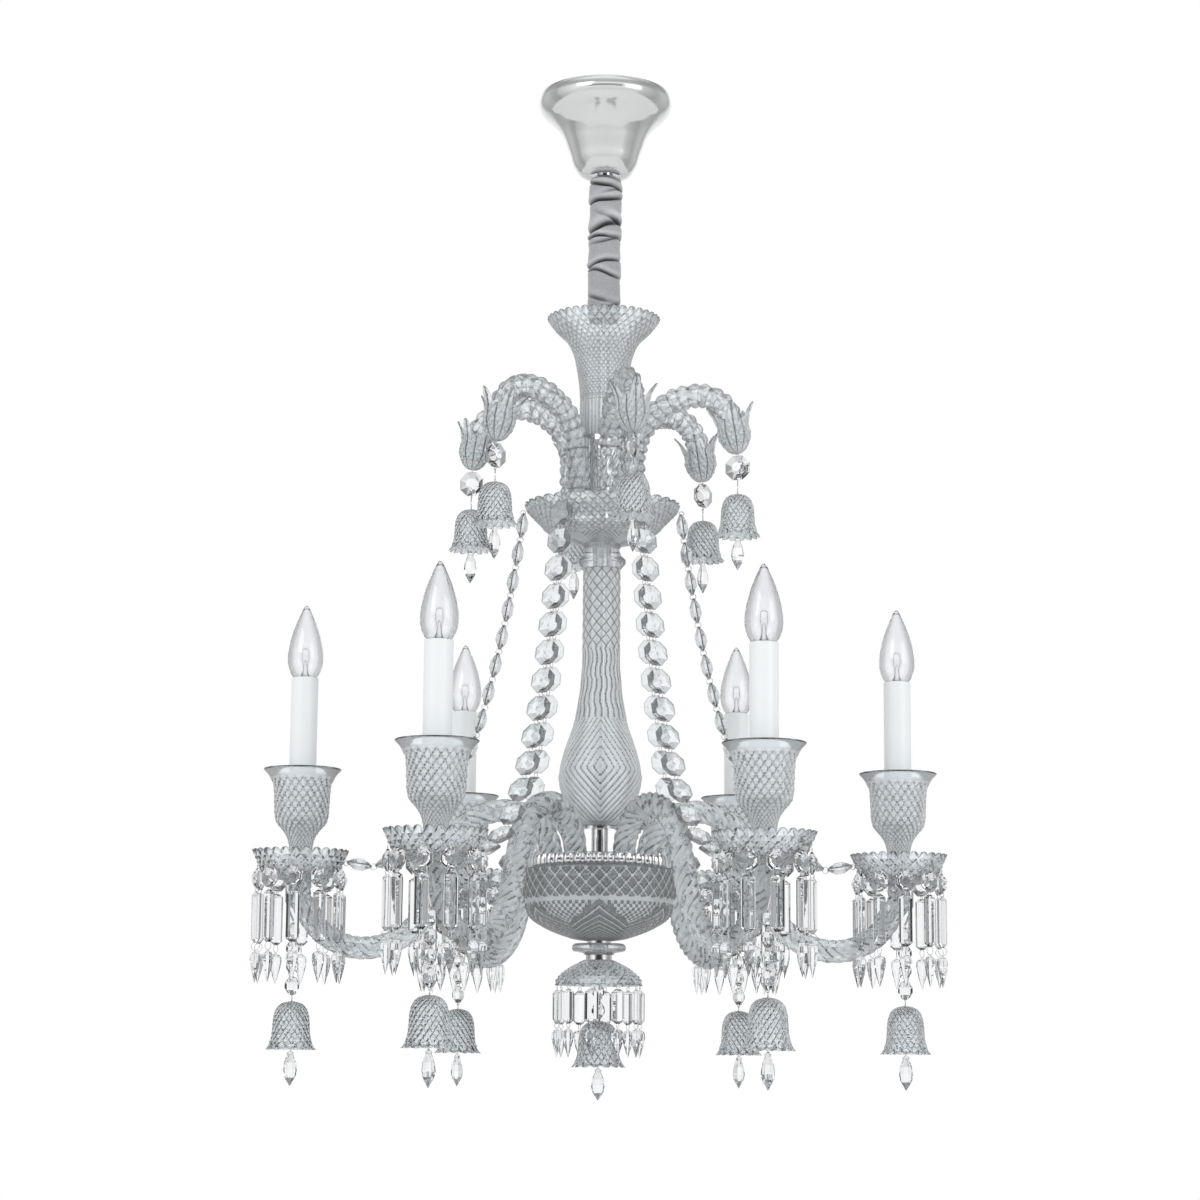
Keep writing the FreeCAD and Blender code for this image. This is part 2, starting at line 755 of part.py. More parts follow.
def candle_cup():
    """Cut-glass urn round the candle, with a flared lip."""
    low = cup_low_z
    shape = [(cup_foot_r, 0), (14.0, 9), (cup_neck_r, 26), (13.4, 37), (18.5, 45), (25.0, 52), (27.0, 66)]
    outer = [(r, low + z) for r, z in shape] + [(cup_body_r, low + 86), (cup_body_r + 2, low + 93)]
    outer += [(cup_rim_r - 3, low + 99), (cup_rim_r, low + cup_h - 3), (cup_rim_r - 1, low + cup_h)]
    hollow = [(r - cup_wall, z) for r, z in outer[6:9]][::-1]
    inner = [(cup_rim_r - 4, low + cup_h - 1)] + hollow + [(20.0, cup_floor_z + 3), (16.0, cup_floor_z)]
    return vessel(24, outer, inner, nipple_r + 0.3)


def candle_tube():
    """White tube that stands for the candle."""
    wall = candle_r - candle_wall
    low = cup_floor_z
    return spun([(wall, low), (candle_r, low), (candle_r, candle_top_z), (wall, candle_top_z)])


def lamp_holder():
    """Lamp holder on the nipple, inside the candle tube."""
    top = holder_top_z
    low = holder_low_z
    web = low + holder_web
    points = [(nipple_r + nipple_play, low), (holder_r, low), (holder_r, top), (socket_r, top), (socket_r, web + 3)]
    points += [(wire_r, web + 3), (wire_r, web - 4), (nipple_r + nipple_play, web - 4)]
    return spun(points)


def arm_nipple():
    """Hollow threaded rod from the arm's end up to the lamp holder."""
    low = arm_end_z - arm_end_straight + 2.0
    top = holder_low_z + holder_web - 4.0
    return spun([(nipple_bore_r, low), (nipple_r, low), (nipple_r, top), (nipple_bore_r, top)])


def bulb():
    """Candle bulb: pointed envelope, screw cap below."""
    neck = candle_top_z + bulb_seat
    cap = neck - bulb_cap_h - 2.0
    tip = neck + bulb_glass_h
    shape = [(bulb_cap_r, neck - 2), (11.2, neck), (14.8, neck + 6), (17.0, neck + 13), (bulb_r, neck + 20)]
    shape += [(16.8, neck + 28), (14.6, neck + 39), (11.2, neck + 50), (7.2, neck + 60), (3.2, tip - 3.4)]
    shape += [(1.4, tip - 0.8)]
    walls = inset(shape, -bulb_wall)
    glass = spun_curves(shape, walls)
    inside = walls[-1]
    point = spun([(0, inside[1]), inside, shape[-1], (0.3, tip), (0, tip)])
    first = walls[0]
    cap_points = [(3.0, cap), (5.6, cap), (bulb_cap_r, cap + 4), shape[0], first, (3.0, first[1])]
    return Part.makeCompound([glass.fuse([point, spun(cap_points)]).removeSplitter()])


def strand(bead_w, prism_h, spear_h, top_gap):
    """One hanging strand: wire, octagon bead, long prism and spear, as one faceted solid."""
    wire = 0.9
    z = -top_gap
    rows = [(0.0, wire), (z, wire)]
    if bead_w:
        half = bead_w / 2
        rows += [(z - 0.6, half * 0.42), (z - half * 0.6, half), (z - half * 1.4, half)]
        rows += [(z - bead_w + 0.6, half * 0.42), (z - bead_w, wire)]
        z -= bead_w + 1.8
        rows.append((z, wire))
    half = strand_prism_w / 2
    rows += [(z - 0.4, half * 0.7), (z - 4, half), (z - prism_h + 5, half), (z - prism_h, wire)]
    z -= prism_h
    gap = 8.0 if bead_w else 4.5
    rows.append((z - gap, wire))
    z -= gap
    half = strand_spear_w / 2
    rows += [(z - 2.5, half * 0.55), (z - 8, half)]
    return gem(rows, strand_flat, tip=V(0, 0, z - spear_h))


def bobeche_strands():
    """Ten strands round each drip pan, leaving a gap where the arm passes."""
    top = arm_end_z + 15.0
    master = strand(strand_bead_w, strand_prism_h, strand_spear_h, 3.5)
    master.rotate(ORIGIN, UP, 90)
    reach = drip_outer(top) + strand_flat * 0.9 + 0.1
    ringed = []
    step = (360.0 - 2 * strand_half_gap) / (strand_count - 1)
    for k in range(strand_count):
        one = moved(master, reach, top)
        one.rotate(ORIGIN, UP, 180 + strand_half_gap + k * step)
        one.translate(V(arm_reach, 0, 0))
        ringed.append(one)
    strands = []
    for one in ringed:
        strands += around(one, arm_count)
    return strands


def drip_outer(z):
    """Outer radius of the drip pan at a height, between its rings at 13 and 20 above its foot."""
    part = (z - arm_end_z - 13.0) / 7.0
    return 40.5 + 3.0 * part


def dome_strands():
    """Short strands round the bottom dome."""
    master = strand(0, dome_prism_h, dome_spear_h, 4.0)
    master.rotate(ORIGIN, UP, 90)
    return around(moved(master, dome_strand_r, dome_low_z), strand_count, 9.0)


def bell(body_r, rim_r, height, lobes=12):
    """A hollow cut-glass bell with a scalloped rim, its crown at z = 0."""
    wall = 2.4
    outer = [(3.0, 0), (body_r * 0.62, -2.5), (body_r * 0.86, -height * 0.17), (body_r, -height * 0.36)]
    outer += [(body_r * 1.02, -height * 0.66), (body_r * 1.16, -height * 0.84), (rim_r, -height)]
    inner = [(rim_r - 1.6, -height + 0.2), (body_r * 1.16 - wall, -height * 0.83)]
    inner += [(body_r * 1.02 - wall, -height * 0.66), (body_r - wall, -height * 0.38)]
    inner += [(body_r * 0.86 - wall, -height * 0.2), (body_r * 0.4, -5.5)]
    return vessel(24, outer, inner, 0.0, lobes, 0.7, 0.9)


def hanging_bell(beads, body_r, rim_r, height, drop_w, drop_h, hang):
    """Beads on a wire, a bell and its clapper drop, hung at z = 0. The wire runs through."""
    parts = []
    z = 0.0
    for width, tall, flatness in beads:
        half = width / 2
        rows = [(z, 0.9), (z - 1.4, 0.9), (z - 1.8, half * 0.4), (z - tall * 0.4, half)]
        rows += [(z - tall * 0.62, half), (z - tall + 0.4, half * 0.3), (z - tall, 0.9)]
        parts.append(gem(rows, flatness))
        z -= tall
    parts.append(Part.makeCylinder(0.7, z + hang, V(0, 0, -hang)))
    cup = bell(body_r, rim_r, height)
    cup.translate(V(0, 0, -hang))
    parts.append(cup)
    inside = -hang - 5.5
    drop_top = -hang - height - 1.0
    parts.append(Part.makeCylinder(0.7, inside - drop_top, V(0, 0, drop_top)))
    half = drop_w / 2
    rows = [(drop_top, 1.2), (drop_top - 3, half * 0.5), (drop_top - drop_h * 0.55, half)]
    tip = V(0, 0, drop_top - drop_h)
    parts.append(gem(rows + [(drop_top - drop_h * 0.7, half * 0.86)], 0.8, 8, tip))
    return parts


def bell_hook():
    """Wire hook from a drip pan's foot, outside the arm, down to the bell's eye."""
    top = arm_end_z
    start = V(arm_reach + hook_out, 0, top)
    knee = V(arm_reach + hook_out, 0, top - hook_drop)
    end = V(arm_reach + hook_in, 0, top - hook_low)
    path = Part.Wire([Part.makeLine(start, knee), Part.makeLine(knee, end)])
    profile = Part.Wire(Part.makeCircle(hook_r, start, UP))
    return path.makePipeShell([profile], True, False, 2)


def lower_bell():
    """Bell under an arm, on its chain of small beads."""
    beads = [(13, 17, 0.8), (14, 17, 0.8), (13, 17, 0.8), (15, 20, 0.8)]
    parts = hanging_bell(beads, 18.0, 24.6, 46.0, 14.5, 33.0, 76.0)
    return [moved(p, arm_reach + hook_in, arm_end_z - hook_low - bell_play - 0.6) for p in parts]


def upper_bell():
    """Bell under a tulip, on one octagon bead."""
    beads = [(24, 27, 0.42)]
    parts = hanging_bell(beads, 16.4, 22.4, 42.0, 13.0, 32.0, 40.0)
    tip = tulip_tip()
    return [moved(p, tip.x, tip.z - bell_play - 0.3) for p in parts]


def centre_bell():
    """Bell in the middle, under the bottom dome."""
    beads = [(12, 17, 0.8), (13, 18, 0.8)]
    parts = hanging_bell(beads, 19.4, 26.4, 44.0, 14.5, 30.0, 36.0)
    return [moved(p, 0, nut_low_z - 3.2 - 3.0 - 1.0 - bell_play) for p in parts]


def sag_of(width, drop, length):
    """Catenary size for a chain of a length between two points."""
    goal = math.sqrt(length * length - drop * drop)
    low = width / 40.0
    high = width * 40.0
    for step in range(80):
        size = (low + high) / 2
        if 2 * size * math.sinh(width / 2 / size) > goal:
            low = size
        else:
            high = size
    return size


def garland_ends():
    """Where a garland hangs: just off the dish's wall and just off the drip pan's edge."""
    high = V(dish_rim_r + garland_play - 0.6, 0, dish_top_z - 6.0)
    low = V(arm_reach - drip_outer(arm_end_z + 18.0) - garland_play, 0, arm_end_z + 18.0)
    return high, low


def garland():
    """Octagon beads along a hanging curve, each with its short wire ends."""
    high, low = garland_ends()
    width = low.x - high.x
    drop = low.z - high.z
    length = garland_count * garland_pitch
    size = sag_of(width, drop, length)
    middle = (high.x + low.x) / 2 - size * math.atanh(drop / length)
    first = size * math.sinh((high.x - middle) / size)
    base = high.z - size * math.cosh((high.x - middle) / size)
    half = garland_bead_w / 2
    end = garland_pitch / 2
    rows = [(-end, 0.9), (-half, half * 0.42), (-half * 0.42, half)]
    rows += [(half * 0.42, half), (half, half * 0.42), (end, 0.9)]
    bead = gem(rows, garland_flat)
    beads = []
    for k in range(garland_count):
        points = []
        for part in (k, k + 1):
            x = middle + size * math.asinh((first + part * garland_pitch) / size)
            points.append(V(x, 0, base + size * math.cosh((x - middle) / size)))
        along = (points[1] - points[0]).normalize()
        across = V(0, 1, 0)
        turn = FreeCAD.Rotation(across, along.cross(across), along, "ZXY")
        one = bead.copy()
        one.Placement = FreeCAD.Placement((points[0] + points[1]) * 0.5, turn)
        beads.append(one)
    return beads


def turned_set(parts, angle):
    """A list of shapes turned about the Z axis."""
    result = []
    for part in parts:
        one = part.copy()
        one.rotate(ORIGIN, UP, angle)
        result.append(one)
    return result


def save_column():
    """Ceiling fitting, chain and centre column."""
    save("ceiling_plate", ceiling_plate())
    save("canopy", canopy())
    save("canopy_loop", canopy_loop())
    save("terminal_block", terminal_block())
    top_link = chain_link()
    top_link.rotate(ORIGIN, UP, 90)
    save("chain_top_link", moved(top_link, 0, top_link_z))
    save("chain_links", chain_links())
    save("power_cable", power_cable())
    save("chain_sleeve", chain_sleeve())
    save("top_eye", top_eye())
    save("centre_pipe", centre_pipe())
    save("top_vase", top_vase())
    save("upper_hub", upper_hub())
    save("upper_arms", around(upper_arm(), upper_count, upper_turn))
    save("upper_tulips", around(placed_tulip(), upper_count, upper_turn))
    save("upper_dish", upper_dish())
    save("neck_ring", neck_ring())
    save("baluster", baluster())
    save("arm_plate", arm_plate())
    save("main_bowl", main_bowl())
    save("spool_rings", spool_rings())
    save("bowl_spool", bowl_spool())
    save("bottom_dome", bottom_dome())
    save("finial_nut", finial_nut())
    save("dome_strands", dome_strands())


def save_arms():
    """Lower arms, what stands on them and what hangs from them."""
    save("lower_arms", around(lower_arm(), arm_count))
    save("lamp_wires", around(lamp_wire(), arm_count))
    save("bobeches", around(moved(bobeche(), arm_reach, 0), arm_count))
    save("candle_cups", around(moved(candle_cup(), arm_reach, 0), arm_count))
    save("candle_tubes", around(moved(candle_tube(), arm_reach, 0), arm_count))
    save("lamp_holders", around(moved(lamp_holder(), arm_reach, 0), arm_count))
    save("arm_nipples", around(moved(arm_nipple(), arm_reach, 0), arm_count))
    save("bobeche_strands", bobeche_strands())
    save("bell_hooks", around(bell_hook(), arm_count))


def save_movers():
    """The pieces that move by themselves: bulbs, garlands and bells."""
    lamp = moved(bulb(), arm_reach, 0)
    chain = garland()
    low_bell = lower_bell()
    for k in range(arm_count):
        angle = 360.0 * k / arm_count
        save("bulb_%d" % (k + 1), turned_set([lamp], angle))
        save("garland_%d" % (k + 1), turned_set(chain, angle))
        save("lower_bell_%d" % (k + 1), turned_set(low_bell, angle))
    high_bell = upper_bell()
    for k in range(upper_count):
        save("upper_bell_%d" % (k + 1), turned_set(high_bell, upper_turn + 360.0 * k / upper_count))
    save("centre_bell", centre_bell())


os.makedirs("parts", exist_ok=True)
save_column()
save_arms()
save_movers()
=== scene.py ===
import bpy
import json
import math
import numpy as np
from mathutils import Euler, Matrix, Vector


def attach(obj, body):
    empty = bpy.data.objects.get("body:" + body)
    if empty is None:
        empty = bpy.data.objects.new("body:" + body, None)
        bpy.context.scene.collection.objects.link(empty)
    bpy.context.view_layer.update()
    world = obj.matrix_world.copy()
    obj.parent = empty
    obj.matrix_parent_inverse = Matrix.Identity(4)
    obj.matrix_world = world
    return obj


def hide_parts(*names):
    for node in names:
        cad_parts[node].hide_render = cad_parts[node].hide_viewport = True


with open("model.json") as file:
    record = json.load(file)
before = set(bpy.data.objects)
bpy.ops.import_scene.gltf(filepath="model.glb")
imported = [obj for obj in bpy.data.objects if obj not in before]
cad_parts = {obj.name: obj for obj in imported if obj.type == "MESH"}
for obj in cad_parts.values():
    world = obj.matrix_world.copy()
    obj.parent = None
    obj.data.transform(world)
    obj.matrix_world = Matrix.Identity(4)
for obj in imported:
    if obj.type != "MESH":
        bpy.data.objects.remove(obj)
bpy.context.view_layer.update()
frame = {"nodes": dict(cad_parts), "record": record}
MM = 0.001
TAU = 2 * math.pi

# Sizes and heights of the solids, in millimetres; heights are measured down from the ceiling
PIPE_HOLE = 6.3
CANOPY_LOW = -86.0
SLEEVE_LOW = -236.2
VASE_LOW, VASE_TALL, VASE_RIM, VASE_STEM = -356.4, 122.0, 57.0, 23.4
DISH_LOW, DISH_TALL, DISH_RIM, DISH_FOOT = -464.4, 39.0, 77.0, 20.4
NECK_LOW = -488.9
BALUSTER_LOW, BALUSTER_TALL, BALUSTER_NECK, BALUSTER_BELLY = -742.4, 253.5, 18.7, 40.5
PLATE_TOP = -771.4
PLATE_RIM = 59.5
BOWL_LOW, BOWL_TALL, BOWL_RIM = -853.2, 68.0, 74.6
SPOOL_TOP = -855.7
SPOOL_TALL = 11.0
DOME_LOW, DOME_TALL, DOME_RIM = -895.7, 24.5, 42.4
CENTRE_BELL_TOP = -893.4
REACH = 290.0
CUP_LOW = -793.5
CUP_BORE = 4.3
CANDLE_TOP = -599.5
BULB_TALL = 72.0

# Lower arm: its foot in the plate, its bends in order from there, and its end under the drip pan
ARM_FOOT = 47.0
ARM_END = -797.0
ARM_SOCKET = 6.0
RISE_BEND, OVER_BEND, LOW_BEND, CLIMB_BEND, END_BEND = 44.0, 60.0, 68.0, 60.0, 16.0
FALL_ANGLE, CLIMB_ANGLE = 72.0, 60.0
END_RUN = 12.0
ARM_BORE = 4.2

# Upper arm: its foot on the hub, its rise, the bend over, the bend of its tip and the tip's straight end
UPPER_TURN = -18.0
UPPER_FOOT, UPPER_FOOT_Z = 32.0, -419.4
UPPER_RISE, UPPER_OVER, UPPER_TIP_BEND, UPPER_TIP_RUN = 36.0, 64.0, 38.0, 20.0
UPPER_TIP_ANGLE = 80.0
TULIP_DOWN = 10.0

# Hanging crystal
PAN_STRANDS, PAN_STRAND_SPAN = 10, 316.0
PAN_STRAND_REACH = 41.95
DOME_STRANDS = 10
DOME_STRAND_REACH = 40.4
GARLAND_BEADS, GARLAND_PITCH = 15, 28.4
GARLAND_HIGH, GARLAND_LOW = (77.1, -431.4), (246.66, -779.0)

SIX = [60.0 * k for k in range(6)]
SIX_UP = [UPPER_TURN + angle for angle in SIX]


# ---------------------------------------------------------------- mesh helpers

class Mesh:
    """Gathers points in millimetres, faces, their shading and their cut values (painted shade); makes one
    piece in metres.
    """

    def __init__(self, points=(), tris=(), smooth=False, cut=0.5):
        self.points = []
        self.tris = []
        self.flags = []
        self.cuts = []
        self.count = 0
        if len(points):
            self.add(points, tris, smooth, cut)

    def add(self, points, tris, smooth=False, cut=0.5):
        """Adds points and triangles; smooth and cut are one value or one for each triangle."""
        points = np.asarray(points, float).reshape(-1, 3)
        tris = np.asarray(tris, int).reshape(-1, 3)
        self.points.append(points)
        self.tris.append(tris + self.count)
        self.flags.append(np.broadcast_to(np.asarray(smooth, bool), (len(tris),)))
        self.cuts.append(np.broadcast_to(np.asarray(cut, float), (len(tris),)))
        self.count += len(points)

    def copies(self, other, angles=(0.0,), shift=(0, 0, 0)):
        """Adds another mesh, shifted and then turned about Z to each angle in degrees."""
        points, tris, flags, cuts = other.arrays()
        for angle in angles:
            self.add(turn_z(points + np.array(shift), angle), tris, flags, cuts)
        return self

    def arrays(self):
        """Points, triangles, smooth flags and cut values, each in one array."""
        return tuple(np.concatenate(rows) for rows in (self.points, self.tris, self.flags, self.cuts))

    def piece(self, name, material):
        """The scene's object of this mesh, in metres, with its cut values, the painted shade, as a face
        attribute.
        """
        points, tris, flags, cuts = self.arrays()
        data = bpy.data.meshes.new(name)
        data.vertices.add(len(points))
        data.vertices.foreach_set("co", (points * MM).astype(np.float32).ravel())
        data.loops.add(len(tris) * 3)
        data.loops.foreach_set("vertex_index", tris.astype(np.int32).ravel())
        data.polygons.add(len(tris))
        data.polygons.foreach_set("loop_start", np.arange(0, len(tris) * 3, 3, dtype=np.int32))
        data.polygons.foreach_set("use_smooth", flags)
        data.update(calc_edges=True)
        # the cut attribute holds painted shade and painted glints for the glass and velvet materials
        data.attributes.new("cut", "FLOAT", "FACE").data.foreach_set("value", cuts.astype(np.float32))
        data.materials.append(material)
        piece = bpy.data.objects.new(name, data)
        bpy.context.scene.collection.objects.link(piece)
        return piece


def show(shape, name, material, body, slot, *nodes):
    """Makes a piece of a mesh, lets it ride on a body and stand for nodes of the frame."""
    piece = shape.piece(name, material)
    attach(piece, body)
    if nodes:
        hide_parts(*nodes)
    return piece


def turn_z(points, degrees):
    """Points turned about the Z axis."""
    a = math.radians(degrees)
    c, s = math.cos(a), math.sin(a)
    return points @ np.array([[c, s, 0], [-s, c, 0], [0, 0, 1.0]])


def moved(shape, shift=(0, 0, 0), turn=0.0, tilt=None):
    """A copy of a mesh, tilted by a 3x3 matrix, turned about Z in degrees and then shifted."""
    points, tris, flags, cuts = shape.arrays()
    if tilt is not None:
        points = points @ np.asarray(tilt, float).T
    return Mesh(turn_z(points, turn) + np.array(shift, float), tris, flags, cuts)


def smooth_line(points, count):
    """A Catmull-Rom curve through 2-D or 3-D points, at count points of equal arc length."""
    p = np.asarray(points, float)
    p = np.vstack([2 * p[0] - p[1], p, 2 * p[-1] - p[-2]])
    t = np.linspace(0, 1, 24, endpoint=False)[:, None]
    runs = []
    for k in range(1, len(p) - 2):
        a, b, c, d = p[k - 1:k + 3]
        bend = (2 * a - 5 * b + 4 * c - d) * t ** 2 + (3 * b - a - 3 * c + d) * t ** 3
        runs.append(0.5 * (2 * b + (c - a) * t + bend))
    line = np.vstack(runs + [p[-2][None]])
    along = run_length(line)
    want = np.linspace(0, along[-1], count)
    return np.stack([np.interp(want, along, line[:, k]) for k in range(line.shape[1])], axis=1)


def run_length(line):
    """The length from the start of a polyline to each of its points."""
    return np.concatenate([[0], np.cumsum(np.linalg.norm(np.diff(line, axis=0), axis=1))])


def directions(line):
    """Unit directions along a polyline, at its points."""
    run = np.gradient(line, axis=0)
    return run / (np.linalg.norm(run, axis=1)[:, None] + 1e-12)


def outward(line):
    """Normals of an (r, z) line that point to the right of its run."""
    run = directions(line)
    return np.stack([run[:, 1], -run[:, 0]], axis=1)


def raised(profile, low):
    """An (r, z) profile moved up from 0 to the height low."""
    return [(r, z + low) for r, z in profile]


def spread(line, cols):
    """Radii and heights of an (r, z) line, repeated over columns."""
    line = np.asarray(line, float)
    return np.repeat(line[:, :1], cols, 1), np.repeat(line[:, 1:], cols, 1)


def wheel(r, z):
    """A (rows, columns) grid of radii and heights turned about Z, each column at its own angle."""
    theta = np.arange(r.shape[1]) / r.shape[1] * TAU
    return np.stack([r * np.cos(theta), r * np.sin(theta), z], axis=2)


def corners(rows, cols, closed_rows):
    """The four corners of each quad of a grid that is closed in its columns."""
    j, i = np.meshgrid(np.arange(rows if closed_rows else rows - 1), np.arange(cols), indexing="ij")
    a = (j * cols + i).ravel()
    b = (j * cols + (i + 1) % cols).ravel()
    c = (((j + 1) % rows) * cols + (i + 1) % cols).ravel()
    d = (((j + 1) % rows) * cols + i).ravel()
    return a, b, c, d


def level_split(h, a, b, c, d):
    """Which quads are split from b to d, so that the split runs along level ground."""
    d1 = np.abs(h[a] - h[c])
    d2 = np.abs(h[b] - h[d])
    m1 = np.abs((h[a] + h[c]) / 2 - 0.5)
    m2 = np.abs((h[b] + h[d]) / 2 - 0.5)
    return (d2 < d1 - 1e-9) | ((np.abs(d1 - d2) <= 1e-9) & (m2 > m1))


def lattice(grid, relief=None, closed_rows=False, cap_first=False, cap_last=False):
    """Triangles over a (rows, columns) grid that is closed in its columns.

    They are split along level ground in the relief, and face outwards where rows climb and columns run
    anticlockwise seen from above."""
    rows, cols = grid.shape[:2]
    a, b, c, d = corners(rows, cols, closed_rows)
    split = np.zeros(len(a), bool) if relief is None else level_split(relief.ravel(), a, b, c, d)
    one = np.where(split[:, None], np.stack([a, b, d], 1), np.stack([a, b, c], 1))
    two = np.where(split[:, None], np.stack([b, c, d], 1), np.stack([a, c, d], 1))
    tris = np.stack([one, two], 1).reshape(-1, 3)
    points = grid.reshape(-1, 3)
    k = np.arange(cols)
    if cap_first:
        points = np.vstack([points, points[:cols].mean(0)[None]])
        tris = np.vstack([tris, np.stack([np.full(cols, len(points) - 1), (k + 1) % cols, k], 1)])
    if cap_last:
        base = (rows - 1) * cols
        points = np.vstack([points, points[base:base + cols].mean(0)[None]])
        last = np.full(cols, len(points) - 1)
        tris = np.vstack([tris, np.stack([k + base, (k + 1) % cols + base, last], 1)])
    return points, tris


# ---------------------------------------------------------------- cut patterns and their painted shade

def wave(value, period):
    """A triangle wave: 0 at whole periods, 1 halfway."""
    part = np.mod(value, period) / period
    return 1 - np.abs(2 * part - 1)


def diamonds(a, b, period=4):
    """Height of a wall cut by two crossing sets of V grooves: a pyramid in each cell."""
    return np.minimum(wave(a + b, period), wave(a - b, period))


def netted(a, b, period=6):
    """Height of flat-topped cells parted by narrow crossing grooves."""
    return np.clip(diamonds(a, b, period) * 1.6, 0, 1)


def nested(a, b, wide, middle, period=4):
    """Height of grooves that run as diamonds inside one another, in panels a number of columns wide."""
    side = np.abs(np.mod(a + wide / 2, wide) - wide / 2)
    return wave(side + np.abs(b - middle), period)


def flutes(a, b, period=4):
    """Height of upright ribs."""
    return wave(a, period) + 0 * b


def veined(a, b):
    """Height of a leaf's long veins, a groove at every twelfth column, over shallower crossing cuts."""
    return np.minimum(np.clip(np.abs(np.mod(a + 6, 12) - 6) / 2.5, 0, 1), 0.3 + 0.7 * netted(a, b, 8))


def hashed(value):
    """A repeatable number between -0.5 and 0.5 for each value: what a large multiple of its sine has past
    the decimal point."""
    return np.mod(np.abs(np.sin(value)) * 43758.5453, 1.0) - 0.5


def painted_sparkle(lift=0.0):
    """Painted shade and glints of a cut: a facet is painted brighter the higher it is, so the grooves get
    painted shade, and the more it leans to the light, and differs from its neighbours by chance, which paints
    random glints."""
    def tone(mean, way, chance, flat):
        return np.where(flat, 0.74 + 0.3 * chance, 0.25 + lift + 0.46 * mean + 0.36 * way + 0.58 * chance)
    return tone


def painted_groove_shading(cell, groove, edge=0.34, by_lean_to_light=0.1, by_chance=0.16):
    """Painted light and shade of a cut pattern in two values: one for grooves, lower than the edge, and one
    for cells;
    a facet is also painted lighter or darker as it leans to the light, and by chance as painted glints.
    """
    def tone(mean, way, chance, flat):
        value = np.where(mean < edge, groove, cell) + by_lean_to_light * way + by_chance * chance
        return np.where(flat, cell + 0.02 + 0.14 * chance, value)
    return tone


def painted_facet_shades(relief, tone, closed_rows=False):
    """A cut value of painted shade, 0 for a groove painted dark to 1 for clear ground, for each triangle of a
    lattice of this relief.

    The tone is given a facet's mean height, the way it leans to the light, a hash of its place that paints
    random glints and whether it is level ground at the top."""
    h = relief.ravel()
    cols = relief.shape[1]
    a, b, c, d = corners(relief.shape[0], cols, closed_rows)
    split = level_split(h, a, b, c, d)[:, None]
    east = np.stack([h[b] - h[a], h[c] - h[d]], 1)
    rise = np.stack([h[d] - h[a], h[c] - h[b]], 1)
    north = np.where(split, rise, rise[:, ::-1])
    sum_b_d = np.stack([h[a] + h[b] + h[d], h[b] + h[c] + h[d]], 1)
    sum_a_c = np.stack([h[a] + h[b] + h[c], h[a] + h[c] + h[d]], 1)
    mean = np.where(split, sum_b_d, sum_a_c) / 3
    steep = np.hypot(east, north)
    across = np.cos(np.mod(a, cols) / cols * TAU)[:, None]
    # way is how the facet leans to the light: it paints light and shade on the facets
    way = (0.75 * across * east - 0.7 * north) / (steep + 1e-6)
    chance = hashed(np.stack([a, a + 0.5], 1) * 12.9898)
    flat = (steep < 1e-3) & (mean > 0.99)
    return np.clip(tone(mean, way, chance, flat), 0, 1).ravel()


def cut_line(profile, cols, aspect, multiple=4):
    """An (r, z) line whose steps are as tall as its columns are wide, times the aspect."""
    fine = smooth_line(profile, 900)
    steps = np.linalg.norm(np.diff(fine, axis=0), axis=1)
    widths = TAU * np.maximum((fine[1:, 0] + fine[:-1, 0]) / 2, 3.0) / cols * aspect
    along = np.concatenate([[0], np.cumsum(steps / widths)])
    rows = max(multiple, int(round(along[-1] / multiple)) * multiple)
    want = np.linspace(0, along[-1], rows + 1)
    return np.stack([np.interp(want, along, fine[:, 0]), np.interp(want, along, fine[:, 1])], axis=1)


def cut_wall(line, high, depth, period):
    """Radii and heights of an (r, z) line spread over columns and sunk where the relief is low.

    The deepest groove is a share of a cell, which is a period of columns wide."""
    normal = outward(line)
    cell = TAU * line[:, 0] / high.shape[1] * period
    sunk = -(1 - high) * (depth * cell)[:, None]
    return line[:, :1] + sunk * normal[:, :1], line[:, 1:] + sunk * normal[:, 1:]


